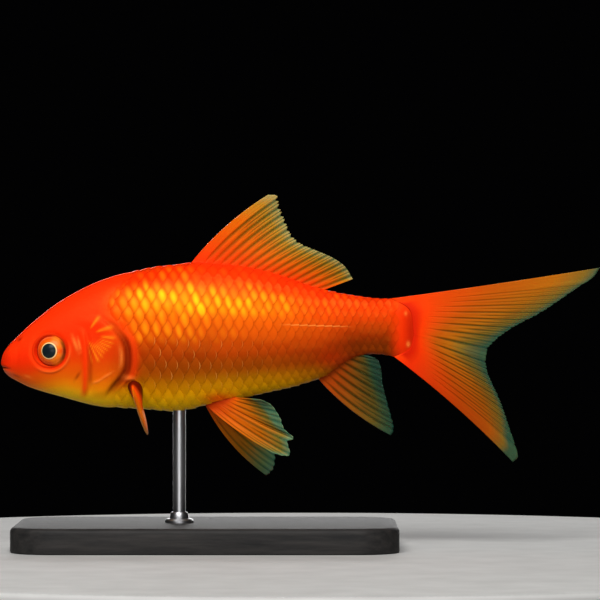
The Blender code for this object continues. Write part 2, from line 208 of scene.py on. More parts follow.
def noise(tree, scale, detail=2.0, where=None, roughness=0.5):
    """Soft noise, on the piece's own coordinates if nothing else is said."""
    where = where or node(tree, "TexCoord", output="Object")
    return node(tree, "TexNoise", {"Vector": where, "Scale": scale, "Detail": detail,
                                   "Roughness": roughness})


def flat_point(x, y):
    return node(x.tree, "CombineXYZ", {"X": x, "Y": y})


def emboss(shader, height, strength, distance):
    """Let a height show as relief in the light, without moving the surface."""
    sockets = {"Height": height, "Strength": strength, "Distance": distance}
    node(height.tree, "Bump", sockets).into(shader, "Normal")


def new_material(name, roughness, **constants):
    """A Principled material. The constants are set on the shader's own sockets."""
    material = bpy.data.materials.new(name)
    material.use_nodes = True
    shader = material.node_tree.nodes["Principled BSDF"]
    shader.inputs["Roughness"].default_value = roughness
    for socket, value in constants.items():
        shader.inputs[socket.replace("_", " ")].default_value = value
    return material, material.node_tree, shader


# %% Table top
TABLE_RADIUS = 0.15
TABLE_THICKNESS = 0.006
TABLE_RIM = 1.2 * MM

plaster, tree, shader = new_material("pale plaster", 0.75)
pale = noise(tree, 90.0, 4.0).ramp(painted((0.3, 172, 171, 168), (0.7, 182, 181, 178)))
pale.into(shader, "Base Color")
table = bmesh.new()
bmesh.ops.create_cone(table, cap_ends=True, segments=160, radius1=TABLE_RADIUS,
                      radius2=TABLE_RADIUS, depth=TABLE_THICKNESS)
bmesh.ops.translate(table, verts=table.verts, vec=(0, 0, -TABLE_THICKNESS / 2))
soften(table, [e for e in table.edges if all(v.co.z > -MM for v in e.verts)], TABLE_RIM, 4)
table_top = object_from("table_top", table, plaster)


# %% Lamps
def soft_lamp(name, spot, size, watts):
    data = bpy.data.lights.new(name, "AREA")
    data.shape = "RECTANGLE"
    data.size, data.size_y = size
    data.energy = watts
    lamp = bpy.data.objects.new(name, data)
    lamp.location = spot
    aim = Vector((0.0, 0.0, 0.055)) - Vector(spot)
    lamp.rotation_euler = aim.to_track_quat("-Z", "Y").to_euler()
    lamp.visible_camera = False
    bpy.context.scene.collection.objects.link(lamp)


soft_lamp("key lamp", (-0.10, -0.52, 0.56), (0.50, 0.30), 6.6)
soft_lamp("front lamp", (0.0, -1.00, 0.07), (0.60, 0.26), 2.7)
soft_lamp("back lamp", (0.05, 0.80, 0.22), (0.70, 0.16), 2.1)
soft_lamp("low back lamp", (0.0, 0.80, 0.02), (0.60, 0.10), 0.9)

world = bpy.data.worlds.new("dark studio")
world.use_nodes = True
world.node_tree.nodes["Background"].inputs["Color"].default_value = (0.0006, 0.0006, 0.0007, 1.0)
bpy.context.scene.world = world

# %% [markdown]
# ## The body's own surface
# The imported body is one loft: at each place along the fish a ring is given by the back, the belly
# and half the width. The same few stations are used here, so the skin and the scales lie exactly
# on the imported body. Reading its mesh would work too, but only as finely as its facets.

# %% Smooth curves through stations
def through(stations, where):
    """Values at many places of a smooth curve through stations of (parameter, value, ...)."""
    table_of = np.asarray(stations, float)
    keys, values = table_of[:, 0], table_of[:, 1:].T
    shape = np.shape(where)
    where = np.clip(np.ravel(where), keys[0], keys[-1])
    index = np.clip(np.searchsorted(keys, where) - 1, 0, len(keys) - 2)
    before = np.maximum(index - 1, 0)
    after = np.minimum(index + 2, len(keys) - 1)
    span = keys[index + 1] - keys[index]
    t = (where - keys[index]) / span
    start, end = values[:, index], values[:, index + 1]
    slope_start = (end - values[:, before]) / (keys[index + 1] - keys[before]) * span
    slope_end = (values[:, after] - start) / (keys[after] - keys[index]) * span
    cubic = 2 * start - 2 * end + slope_start + slope_end
    square = -3 * start + 3 * end - 2 * slope_start - slope_end
    return (((cubic * t + square) * t + slope_start) * t + start).reshape(-1, *shape)


def rise(value, low, high):
    """A smooth step: 0 up to low, 1 from high on."""
    t = np.clip((value - low) / (high - low), 0, 1)
    return t * t * (3 - 2 * t)


def hump(value, centre, width):
    """A smooth bump of height 1."""
    return np.exp(-((value - centre) / width) ** 2)


def band(value, low, high, soft):
    """1 between low and high, falling off over soft on both sides."""
    return rise(value, low - soft, low + soft) * (1 - rise(value, high - soft, high + soft))


# %% The body's rings
SNOUT_ROUND = 0.028             # length of the blunt nose
STALK_ROUND = 0.016             # length of the rounded hind end
FLANK_FULLNESS = 0.90           # below 1 the flanks are fuller than an ellipse
# Along, back, belly and half width.
BODY_STATIONS = (
    (0.000, 0.030, -0.037, 0.026),
    (0.020, 0.040, -0.042, 0.035),
    (0.069, 0.086, -0.066, 0.052),
    (0.142, 0.143, -0.088, 0.069),
    (0.240, 0.194, -0.113, 0.084),
    (0.362, 0.228, -0.122, 0.092),
    (0.430, 0.237, -0.126, 0.093),
    (0.485, 0.241, -0.116, 0.091),
    (0.632, 0.224, -0.085, 0.075),
    (0.780, 0.177, -0.046, 0.051),
    (0.860, 0.161, 0.004, 0.036),
    (0.926, 0.152, 0.013, 0.027),
    (1.000, 0.154, -0.002, 0.022),
    (BODY_END, 0.152, 0.000, 0.019),
)


def section(along):
    """Middle level, half height and half width of the body's ring, in metres."""
    back, belly, half_width = through(BODY_STATIONS, along)
    nose = np.clip(1 - along / SNOUT_ROUND, 0, 1)
    stalk = np.clip(1 - (BODY_END - along) / STALK_ROUND, 0, 1)
    full = np.sqrt(1 - nose ** 2) * np.sqrt(1 - stalk ** 2) * LENGTH
    return MOUTH_Z + (back + belly) / 2 * LENGTH, (back - belly) / 2 * full, half_width * full


def place(along, height, side=0.0):
    """A point from the fish's proportions. side is in metres, towards +Y."""
    return Vector((SNOUT_X + along * LENGTH, side, MOUTH_Z + height * LENGTH))


def surface(along, turn):
    """Points of the body. turn runs from 0 on the back over pi/2 on the left flank to pi."""
    along, turn = np.broadcast_arrays(along, turn)
    middle, half_height, half_width = section(along)
    across = np.sin(turn)
    across = np.sign(across) * np.abs(across) ** FLANK_FULLNESS
    return np.stack((SNOUT_X + along * LENGTH, -half_width * across,
                     middle + half_height * np.cos(turn)), axis=-1)


def outward(along, turn):
    """The direction that points straight out of the body."""
    step = 0.0005
    lengthwise = surface(along + step, turn) - surface(along - step, turn)
    around = surface(along, turn + step) - surface(along, turn - step)
    normal = np.cross(around, lengthwise)
    return normal / np.linalg.norm(normal, axis=-1, keepdims=True)


def flank(along, height):
    """Half width of the body at one place of its side, in metres."""
    middle, half_height, half_width = section(np.array([along]))
    share = (MOUTH_Z + height * LENGTH - middle[0]) / half_height[0]
    return half_width[0] * math.sqrt(1 - min(share ** 2, 1.0)) ** FLANK_FULLNESS


print(f"half width at the eye {flank(*EYE) / MM:.2f} mm")

# %% [markdown]
# ## What the head shows
# A goldfish's head is bare skin over bone: a gill cover with fine ribs that fan out from its
# front corner, a raised edge in front of it, the shoulder bone behind the slit, a fold round the
# eye, lips and nostrils. A sculptor would press these into clay. Here each is a small height that
# is added to the smooth head, as a function of where a point lies in side view. Grooves, slits
# and hollows also get painted shade, and some ridges and folds a painted highlight. Heights and
# distances are in millimetres.

# %% Edges of the gill cover
# Height and along of the head's hind edge, from throat to nape.
HEAD_EDGE = (
    (-0.150, 0.250), (-0.100, 0.254), (-0.069, 0.269), (-0.025, 0.303), (0.010, 0.309),
    (0.045, 0.301), (0.080, 0.274), (0.110, 0.243), (0.140, 0.240), (0.170, 0.254),
    (0.210, 0.286), (0.300, 0.330),
)
# Height and along of the ridge in front of the gill cover.
CHEEK_RIDGE = (
    (-0.110, 0.196), (-0.080, 0.209), (-0.030, 0.213), (0.020, 0.212), (0.062, 0.206),
    (0.100, 0.193),
)
FAN_CORNER = (0.211, 0.062)     # the gill cover's ribs start here
SHOULDER = (0.3295, -0.063)     # root of the pectoral fin


def behind(edge, along, height):
    """Distance behind an edge of (height, along) stations, square to it, in millimetres."""
    step = 0.002
    slope = (through(edge, height + step)[0] - through(edge, height - step)[0]) / (2 * step)
    return (along - through(edge, height)[0]) * LENGTH_MM / np.sqrt(1 + slope ** 2)


def near_line(along, height, start, end, width):
    """1 on a straight crease between two places, falling off sideways and past its ends."""
    line = np.subtract(end, start)
    share = ((along - start[0]) * line[0] + (height - start[1]) * line[1]) / line.dot(line)
    share = np.clip(share, 0, 1)
    gap = np.hypot(along - start[0] - share * line[0], height - start[1] - share * line[1])
    return hump(gap * LENGTH_MM, 0, width) * np.sin(np.pi * np.clip(share, 0.08, 0.92))


def around(centre, along, height):
    """Distance and bearing of places as seen from a centre, and how far above it they lie."""
    x = (along - centre[0]) * LENGTH_MM
    z = (height - centre[1]) * LENGTH_MM
    return np.hypot(x, z), np.arctan2(z, x), z


# %% The relief of the head
def eye_fold(along, height):
    """The pocket that the eyeball sits in, the red groove round it and the fold behind it, with
    painted shade in the groove and a painted highlight on the fold.
    """
    reach, bearing, _ = around(EYE, along, height)
    below = rise(np.cos(bearing + math.radians(55)), 0.0, 0.9)
    behind_eye = rise(np.cos(bearing - math.radians(5)), 0.35, 0.95)
    pocket = -2.6 * (1 - rise(reach, 2.5, 3.9))
    groove = -0.26 * hump(reach, 4.15, 0.45)
    fold = 0.26 * hump(reach, 4.90, 0.36) * below
    # painted shade in the groove, heavier behind the eye
    dark = hump(reach, 3.80, 0.50) * (0.45 + 0.55 * behind_eye)
    red = np.clip(1.3 * hump(reach, 4.05, 0.80), 0, 1)
    # painted highlight along the fold below and behind the eye
    bright = hump(reach, 4.95, 0.26) * below
    return pocket + groove + fold, dark, red, bright


def gill_opening(along, height):
    """The gill cover's free edge, the slit behind it and the shoulder bone behind the slit, with
    painted shade in the slit and a painted highlight on the cover just in front of its edge.
    """
    gap = behind(HEAD_EDGE, along, height)
    tall = band(height, -0.084, 0.100, 0.014)
    open_part = band(height, -0.070, 0.060, 0.020)
    deeper = 0.45 + 0.55 * open_part
    cover = 0.34 * rise(gap, -5.0, -0.5) * (1 - rise(gap, -0.30, 0.25))
    slit = -0.40 * hump(gap, 0.55, 0.62) * deeper
    shoulder = 0.26 * hump(gap, 1.8, 0.75) * open_part
    # painted shade in the slit
    dark = tall * np.clip(1.5 * hump(gap, 0.62, 0.82), 0, 1) * deeper
    red = 0.60 * tall * hump(gap, 2.00, 1.10) * rise(height, -0.078, -0.046)
    # painted highlight on the cover just in front of its free edge
    bright = hump(gap, -1.05, 0.38) * band(height, -0.012, 0.030, 0.016)
    return tall * (cover + slit + shoulder), dark, red, bright


def cheek_ridge(along, height):
    gap = behind(CHEEK_RIDGE, along, height)
    tall = rise(height, -0.096, -0.070) * (1 - rise(height, 0.055, 0.085))
    ridge = 0.26 * rise(gap, -1.6, -0.1) * (1 - rise(gap, 0.05, 0.5))
    groove = -0.16 * hump(gap, 0.8, 0.40)
    # painted shade in the groove behind the ridge
    dark = tall * hump(gap, 0.85, 0.50) * band(height, -0.060, 0.036, 0.014)
    return tall * (ridge + groove), dark, tall * hump(gap, -0.35, 0.75)


# %% The fan of ribs on the gill cover
# Each rib's angle, where it starts and ends, its width in degrees and how bright it is.
RIBS = (
    (54, 2.2, 5.2, 6.0, 0.80), (17, 2.8, 6.4, 5.5, 0.80), (-6, 3.8, 6.8, 4.0, 0.85),
    (-17, 3.6, 6.6, 2.6, 0.80), (-26, 3.4, 6.4, 2.6, 1.00), (-35, 3.2, 6.2, 2.6, 0.90),
    (-44, 3.0, 6.0, 2.6, 1.00), (-53, 2.4, 6.4, 2.8, 0.90), (-64, 1.6, 6.8, 3.0, 1.00),
    (-77, 3.0, 6.6, 2.6, 0.40),
)


def gill_fan(along, height):
    """1 on the ribs that fan out over the gill cover from its upper front corner."""
    reach, bearing, _ = around(FAN_CORNER, along, height)
    light = np.zeros_like(reach)
    for angle, start, end, width, strength in RIBS:
        rib = hump(np.degrees(bearing), angle, 0.85 * width) * band(reach, start, end, 0.7)
        light = np.maximum(light, strength * rib)
    return light


# %% Short creases and folds
# Start, end, width, height, and how much painted shade, painted highlight and pale colour each one
# has.
CREASES = (
    ((-0.020, -0.0130), (0.022, -0.0215), 0.26, -0.46, 1.00, 0.0, 0),   # the mouth's slit
    ((0.026, -0.034), (0.050, -0.044), 0.28, -0.14, 0.60, 0.0, 0),      # its corner
    ((-0.030, -0.0050), (0.022, -0.0130), 0.70, 0.16, 0.00, 0.0, 0),    # upper lip
    ((-0.020, -0.0260), (0.026, -0.0360), 0.70, 0.18, 0.00, 0.0, 1),    # lower lip
    ((0.046, 0.034), (0.036, -0.028), 0.45, -0.08, 0.00, 0.0, 0),       # hind end of the jaw
    ((0.038, 0.047), (0.052, 0.056), 0.34, -0.32, 0.75, 0.0, 0),        # nostril
    ((0.046, 0.044), (0.058, 0.052), 0.30, 0.14, 0.00, 0.0, 0),         # its flap
    ((0.177, 0.062), (0.194, 0.018), 0.42, 0.14, 0.00, 1.0, 0),         # bones behind the eye
    ((0.191, 0.058), (0.200, 0.020), 0.28, 0.14, 0.00, 1.0, 0),
    ((0.225, -0.056), (0.251, -0.045), 0.26, 0.14, 0.00, 1.0, 0),       # the gill cover's seam
    ((0.243, -0.0475), (0.278, -0.026), 0.24, 0.14, 0.00, 1.0, 0),
    ((0.056, -0.036), (0.078, -0.043), 0.34, 0.00, 0.00, 0.6, 0),       # gleam on the chin
    ((0.182, -0.052), (0.198, -0.026), 0.34, -0.14, 0.70, 0.0, 0),      # crease of the cheek
    ((0.300, -0.041), (0.338, -0.046), 0.62, 0.42, 0.00, 0.8, 0),       # lobe over the fin's root
)


def creases(along, height):
    """Height, painted shade, painted highlight and paleness of all creases together."""
    total = 0
    for start, end, width, *amounts in CREASES:
        total = total + np.multiply.outer(amounts, near_line(along, height, start, end, width))
    return total


def fin_hollow(along, height):
    """The hollow round the root of the pectoral fin, pressed in and given painted shade."""
    reach, _, above = around(SHOULDER, along, height)
    return hump(reach, 1.75, 0.50) * (1 - rise(above, 0.9, 1.7))


# %% All relief, colour, painted shade and painted highlights of the skin at once
def marks(along, height):
    """Relief in metres, and at each place how much painted shade, red, ribs, painted highlight and
    pale colour the skin has.
    """
    eye, eye_dark, eye_red, eye_bright = eye_fold(along, height)
    gill, gill_dark, gill_red, gill_bright = gill_opening(along, height)
    ridge, ridge_dark, ridge_red = cheek_ridge(along, height)
    ribs = gill_fan(along, height)
    folds, fold_dark, fold_bright, pale = creases(along, height)
    hollow = fin_hollow(along, height)
    relief = MM * (eye + gill + ridge + 0.16 * ribs + folds - 0.28 * hollow)
    # dark is painted shade in grooves, slits and hollows; bright is painted highlight on ridges and
    # folds
    dark = eye_dark + gill_dark + 0.6 * ridge_dark + fold_dark + 0.8 * hollow
    red = 0.9 * eye_red + gill_red + 0.8 * ridge_red
    bright = 0.5 * eye_bright + 0.9 * gill_bright + fold_bright
    return relief, dark, red, ribs, bright, pale


def oval(along, height, centre, reach):
    """A soft oval patch, 1 at its centre."""
    return hump(np.hypot((along - centre[0]) / reach[0], (height - centre[1]) / reach[1]), 0, 1)


# %% [markdown]
# ## Colour, painted shade and painted highlights that skin and scales share
# The colour runs from red-orange on the back over gold and brown-orange on the flank to olive
# gold on the belly, with deep red where each fin grows out. Some layers are painted light: shade
# in grooves and between the scales, and highlights on ridges, folds and scales. Each point stores
# how far along and how high it lies and how much of each patch it has. Both materials read the
# same numbers, so a scale always has the colour of the skin under it.

# %% Numbers stored on the points
DORSAL_ROOT = ((0.459, 0.231), (0.608, 0.212), (0.706, 0.187), (0.774, 0.166))


def colour_layers_with_painted_light(along, height, turn):
    """One array of numbers for each layer of colour, painted shade and painted highlight."""
    relief, dark, red, ribs, bright, lip = marks(along, height)
    level = (1 + np.cos(turn)) / 2
    level = level + 0.18 * (1 - rise(along, 0.03, 0.17)) + 0.05 * rise(along, 0.42, 0.72)
    below_dorsal = height - through(DORSAL_ROOT, along)[0]
    by_dorsal = band(along, 0.47, 0.80, 0.03)
    red = (red + 0.9 * by_dorsal * hump(np.minimum(below_dorsal, 0), 0, 0.024)
           + 0.7 * oval(along, height, (0.532, -0.093), (0.036, 0.014)))
    tail_root = 1.007 + 0.9 * (height - 0.075) ** 2
    deep = (hump(along, tail_root, 0.019) * band(height, -0.010, 0.128, 0.030)
            + 0.55 * oval(along, height, (0.822, -0.002), (0.050, 0.026)))
    # painted highlights on two small bumps at the tail's root
    bright = (bright + 0.9 * oval(along, height, (0.991, 0.116), (0.0036, 0.0056))
              + 1.4 * oval(along, height, (0.997, 0.038), (0.0042, 0.0064)))
    # the shoulder scales' gold: partly their own colour, partly a painted sheen
    gold = (band(height, 0.120, 0.172, 0.020) * band(along, 0.32, 0.50, 0.09)
            + 0.55 * band(height, 0.112, 0.160, 0.020) * band(along, 0.50, 0.72, 0.10))
    plain = 1 - 0.85 * by_dorsal * rise(below_dorsal, -0.042, -0.016)
    # painted highlights on the scales, partly their own golden shine
    glint = (0.95 * band(height, 0.112, 0.182, 0.016) * (1 - rise(along, 0.55, 1.00))
             + 0.34 * band(height, 0.178, 0.226, 0.012) * band(along, 0.34, 0.66, 0.06)
             + 0.60 * band(height, 0.050, 0.116, 0.016) * (1 - rise(along, 0.44, 0.64)))
    glint = glint * (0.30 + 0.70 * rise(along, 0.27, 0.36)) * plain
    # how much painted shadow falls between the scales
    lattice = (0.06 + 0.80 * band(height, 0.066, 0.188, 0.024) * (1 - 0.5 * rise(along, 0.62, 0.95))
               + 0.20 * band(height, 0.188, 0.230, 0.012) * band(along, 0.40, 0.70, 0.08))
    lattice = lattice * (0.25 + 0.75 * rise(along, 0.26, 0.32)) * plain
    # painted highlights on the scales' free edges
    arcs = band(height, -0.060, 0.056, 0.022) * (1 - rise(along, 0.46, 0.76))
    patches = {"dark": dark, "deep": deep, "red": red, "ribs": ribs, "bright": bright, "lip": lip,
               "gold": gold, "glint": glint, "arcs": arcs, "lattice": lattice}
    layers = {name: np.clip(values, 0, 1) for name, values in patches.items()}
    return layers | {"along": along, "level": level}


def store(mesh, layers):
    for name, values in layers.items():
        data = mesh.attributes.new(name, "FLOAT", "POINT").data
        data.foreach_set("value", np.asarray(values, np.float32))


# %% The colour that both materials start from
# Level on the ring, from the belly (0) to the back (1), and red, green and blue.
HEAD_COLOURS = painted(
    (0.00, 255, 208, 40), (0.06, 255, 196, 24), (0.13, 250, 152, 9), (0.21, 232, 106, 6),
    (0.36, 222, 66, 4), (0.56, 232, 42, 4), (1.00, 246, 48, 6))
FRONT_COLOURS = painted(
    (0.00, 246, 200, 24), (0.05, 246, 194, 14), (0.11, 228, 164, 4), (0.22, 170, 94, 3),
    (0.34, 160, 58, 3), (0.50, 206, 72, 4), (0.68, 246, 94, 6), (0.86, 246, 56, 3),
    (1.00, 242, 46, 3))
HIND_COLOURS = painted(
    (0.00, 150, 60, 4), (0.30, 130, 38, 2), (0.60, 198, 54, 3), (0.85, 242, 50, 3),
    (1.00, 236, 46, 4))
ROOT_RED = paint(238, 46, 3)
DEEP_RED = paint(190, 22, 2)
BRIGHT_RED = paint(248, 48, 5)
# the red of painted shade in grooves, slits and hollows
PAINTED_SHADE_RED = paint(110, 8, 1)
GOLD = paint(255, 176, 10)


def fish_colour(tree):
    """The body's colour at a point, from its stored numbers."""
    along = layer(tree, "along")
    level = layer(tree, "level")
    colour = level.ramp(HEAD_COLOURS, "CARDINAL")
    colour = colour.toward(level.ramp(FRONT_COLOURS, "CARDINAL"), along.step(0.24, 0.34))
    colour = colour.toward(level.ramp(HIND_COLOURS, "CARDINAL"), along.step(0.62, 0.88))
    # gold over the shoulder: the scales' own colour and a painted sheen
    colour = colour.toward(GOLD, layer(tree, "gold") * 0.38)
    colour = colour.toward(ROOT_RED, along.step(0.940, 0.985))
    colour = colour.toward(BRIGHT_RED, layer(tree, "red"))
    colour = colour.toward(DEEP_RED, layer(tree, "deep"))
    clouds = noise(tree, 120.0, 3.0).ramp(painted((0.35, 150, 40, 2), (0.65, 255, 150, 30)))
    return colour.toward(clouds, 0.10, "OVERLAY")


# %% Skin material
skin_material, tree, shader = new_material("fish skin", 0.50, Specular_Tint=(1.0, 0.42, 0.06, 1.0),
                                           Specular_IOR_Level=0.32, Subsurface_Weight=0.10,
                                           Subsurface_Scale=1.0 * MM)
colour = fish_colour(tree)
# painted shade in grooves, slits and hollows, the gill cover's ribs, painted highlights on ridges,
# folds and bumps, and pale lips
for name, share, tint in (("dark", 0.80, PAINTED_SHADE_RED), ("ribs", 0.85, paint(255, 132, 18)),
                          ("bright", 0.55, paint(255, 135, 50)),
                          ("lip", 0.55, paint(190, 110, 100))):
    colour = colour.toward(tint, layer(tree, name) * share)
colour.into(shader, "Base Color")
pores = noise(tree, 900.0)
emboss(shader, pores, 0.06, 0.2 * MM)
(pores * 0.16 + 0.42).into(shader, "Roughness")

# %% [markdown]
# ## The skin
# One closed skin stands for head, jaw, gill covers, trunk and tail stalk, so no seam shows
# between them. A ball already has rings and poles like a fish, so each ring of a UV sphere is
# moved to one section of the body. More rings go to the head, where the relief is fine. Under the
# scales the skin lies deeper, by the depth of the coat.

# %% Where the coat of scales lies, and how deep it is
PITCH_FRONT = 2.63 * MM         # from one scale to the next in a row
PITCH_HIND = 1.85 * MM
ROW_FRONT = 2.70 * MM           # from one row to the next
ROW_HIND = 1.85 * MM
COAT_SHARE = 0.17               # the coat's depth, as a share of the pitch


def pitch_at(along):
    return PITCH_FRONT + (PITCH_HIND - PITCH_FRONT) * rise(along, 0.42, 0.85)


def row_height_at(along):
    return ROW_FRONT + (ROW_HIND - ROW_FRONT) * rise(along, 0.42, 0.85)


def coat_depth(along, height):
    covered = rise(behind(HEAD_EDGE, along, height), 0.4, 5.0) * (1 - rise(along, 0.950, 0.985))
    return COAT_SHARE * pitch_at(along) * covered


# %% The skin's mesh
SKIN_RINGS = 350
SKIN_POINTS = 278
RING_SHARES = ((0.0, 0.0), (0.30, 0.19), (0.55, 0.36), (1.0, 1.0))
# Height and along of the line where the tail fin's rays start.
RAY_LINE = ((0.008, 0.963), (0.028, 1.000), (0.062, 1.010), (0.122, 1.000), (0.151, 0.955))


def tail_taper(along, height):
    """The share of its half width that the flesh loses where it runs out into the fin's foot."""
    return 0.63 * rise(along - through(RAY_LINE, height)[0], -0.09, 0.03)


def move_to(bm, points):
    for vert, point in zip(bm.verts, points):
        vert.co = point


def make_skin():
    bm = bmesh.new()
    bm.loops.layers.uv.new("OFBake")
    bmesh.ops.create_uvsphere(bm, u_segments=SKIN_POINTS, v_segments=SKIN_RINGS, radius=1.0,
                              calc_uvs=True)
    bmesh.ops.rotate(bm, verts=bm.verts, matrix=Matrix.Rotation(math.pi / 2, 3, "Y"))
    ball = np.array([vert.co for vert in bm.verts])
    turn = np.arctan2(-ball[:, 1], ball[:, 2])
    share, = through(RING_SHARES, np.arccos(np.clip(-ball[:, 0], -1, 1)) / math.pi)
    along = BODY_END * (1 - np.cos(math.pi * share)) / 2
    points = surface(along, turn)
    move_to(bm, points)
    bmesh.ops.recalc_face_normals(bm, faces=bm.faces)
    bm.normal_update()
    normals = np.array([vert.normal for vert in bm.verts])
    height = (points[:, 2] - MOUTH_Z) / LENGTH
    flat_side = np.abs(np.sin(turn)) ** 0.5
    depth = marks(along, height)[0] * flat_side - coat_depth(along, height)
    depth -= tail_taper(along, height) * np.abs(points[:, 1])
    move_to(bm, points + normals * depth[:, None])
    skin = object_from("skin", bm, skin_material, sharp=80)
    store(skin.data, colour_layers_with_painted_light(along, height, turn))
    return skin


skin = make_skin()
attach(skin, "root")
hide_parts("head", "lower_jaw", "gill_cover_left", "gill_cover_right", "trunk", "tail_stalk")
print("skin faces:", len(skin.data.polygons))

# %% [markdown]
# ## Scales
# A goldfish has about 27 large round scales along its lateral line, and each row is shifted by
# half a scale, like tiles. Painted scales would look flat, so every scale is a thin curved plate
# of its own: its front is buried in the skin and its hind edge stands proud over the next ones.
# One plate is shaped from a grid, and its copies are bent onto the body by their places along
# the row and round the girth.

# %% A ruler for the flank: from the back (0) round the side to the belly (1)
RULER = np.linspace(0.0, BODY_END, 240)
TURNS = np.linspace(0.0, math.pi, 241)
SHARES = np.linspace(0.0, 1.0, 201)
ring_points = surface(RULER[:, None], TURNS[None, :])
ring_steps = np.linalg.norm(np.diff(ring_points, axis=1), axis=2)
ring_reach = np.concatenate((np.zeros((len(RULER), 1)), np.cumsum(ring_steps, axis=1)), axis=1)
girth_table = ring_reach[:, -1]
reach_shares = ring_reach / np.maximum(girth_table, 1e-9)[:, None]
turn_table = np.array([np.interp(SHARES, reach, TURNS) for reach in reach_shares])
LATERAL_LINE = ((0.24, 0.122), (0.34, 0.109), (0.42, 0.102), (0.55, 0.093), (0.70, 0.087),
                (1.0, 0.078))


def girth_at(along):
    return np.interp(along, RULER, girth_table)


def turn_at(along, share):
    """The turn on the ring at which a share of the way from back to belly is reached."""
    row = np.clip(along / BODY_END, 0, 1) * (len(RULER) - 1)
    column = np.clip(share, 0, 1) * (len(SHARES) - 1)
    low_row = np.minimum(row.astype(int), len(RULER) - 2)
    low_column = np.minimum(column.astype(int), len(SHARES) - 2)
    r, c = row - low_row, column - low_column
    turns = [turn_table[at, low_column] * (1 - c) + turn_table[at, low_column + 1] * c
             for at in (low_row, low_row + 1)]
    return turns[0] * (1 - r) + turns[1] * r


def lateral_share(along):
    """Where the lateral line lies between back (0) and belly (1)."""
    height, = through(LATERAL_LINE, along)
    middle, half_height, _ = section(along)
    turn = np.arccos(np.clip((MOUTH_Z + height * LENGTH - middle) / half_height, -1, 1))
    row = np.round(np.clip(along / BODY_END, 0, 1) * (len(RULER) - 1)).astype(int)
    return np.array([np.interp(t, TURNS, reach_shares[r]) for t, r in zip(turn, row)])


lateral_shares = lateral_share(RULER[1:-1])


def row_share(along, rows_down):
    """Where a row lies between back and belly; rows are counted down from the lateral line."""
    line = np.interp(along, RULER[1:-1], lateral_shares)
    return line + rows_down * row_height_at(along) / np.maximum(girth_at(along), MM)


print(f"half girth at the shoulder {girth_at(0.4) / MM:.1f} mm")

# %% One scale, flat
SCALE_FRONT = -1.30             # its buried front edge, in pitches from its middle
SCALE_REAR = 0.62               # its free hind edge
SCALE_ROUND = 0.60              # how far the free edge curves forward, one row aside
SCALE_POINT = 1.7               # 2 would be a round edge and 1 a pointed one
SCALE_HALF = 1.08               # half its height, in rows
SCALE_THICKNESS = 0.024         # in pitches
SCALE_BULGE = 0.035 * MM        # its middle stands this much proud of its sides
SCALE_TILT = 0.006              # how far it may lean by chance, in pitches for each row aside
SCALE_SINK = 0.12 * MM          # a scale dips no further than this under the skin


def free_edge(aside):
    """Where the free edge lies, in pitches, this many rows aside from the scale's middle."""
    return SCALE_REAR - SCALE_ROUND * np.abs(aside) ** SCALE_POINT


def one_scale():
    """x runs back along the row, y down in rows, and z is 0 on the outside and 1 on the inside."""
    bm = bmesh.new()
    bmesh.ops.create_grid(bm, x_segments=10, y_segments=8, size=1.0)
    for vert in bm.verts:
        aside = vert.co.y * SCALE_HALF
        front = SCALE_FRONT + 0.25 * vert.co.y ** 2
        share = 1 - ((1 - vert.co.x) / 2) ** 1.5
        vert.co.x = front + (free_edge(aside) - front) * share
        vert.co.y = aside
    inside = bmesh.ops.extrude_face_region(bm, geom=bm.faces[:])["geom"]
    bmesh.ops.translate(bm, verts=[v for v in inside if isinstance(v, bmesh.types.BMVert)],
                        vec=(0, 0, 1))
    mesh = bpy.data.meshes.new("one scale")
    bm.to_mesh(mesh)
    bm.free()
    return mesh


# %% Places of the scales: along, rows down from the lateral line
FIRST_GAP = 1.7                 # millimetres from the gill opening to the first scales
LAST_ALONG = 0.970


def behind_head(along, share):
    spots = surface(along, turn_at(along, share))
    return behind(HEAD_EDGE, along, (spots[..., 2] - MOUTH_Z) / LENGTH)


def scale_places():
    """Rows run from the head to the tail. Every other row is shifted by half a scale."""
    steps = [0.20]
    while steps[-1] < 1.05:
        steps.append(steps[-1] + 0.5 * pitch_at(np.array(steps[-1])) / LENGTH)
    places = []
    for rows_down in range(-11, 13):
        for along in steps[rows_down % 2::2]:
            spot = np.array([along])
            share = row_share(spot, rows_down)
            room = min(share[0], 1 - share[0]) * girth_at(along) / row_height_at(along)
            if room < 0.25 or along > LAST_ALONG:
                continue
            if behind_head(spot, share)[0] > FIRST_GAP:
                places.append((along, rows_down))
    return np.array(places)


def scale_size(places):
    """The scales next to the head are small ones."""
    gap = behind_head(places[:, :1], row_share(places[:, :1], places[:, 1:]))
    return 0.68 + 0.32 * rise(gap, 1.0, 6.0)


places = scale_places()
print("scales on each side:", len(places), "on the lateral line:", int((places[:, 1] == 0).sum()))

# %% Scale material
SCALE_DOME = 0.07               # how high the open part of a scale swells, in millimetres
RING_RELIEF = 0.006             # height of its growth rings, in millimetres


def reach_of(x, y):
    return node(x.tree, "VectorMath", {0: flat_point(x, y)}, "Value", operation="LENGTH")


def scale_dome(back, down, across, tall):
    """Distance from the middle of the scale's open part; 1 is reached on an upright oval."""
    return reach_of((back - down * 0.22 - 0.17) / across, down / tall)


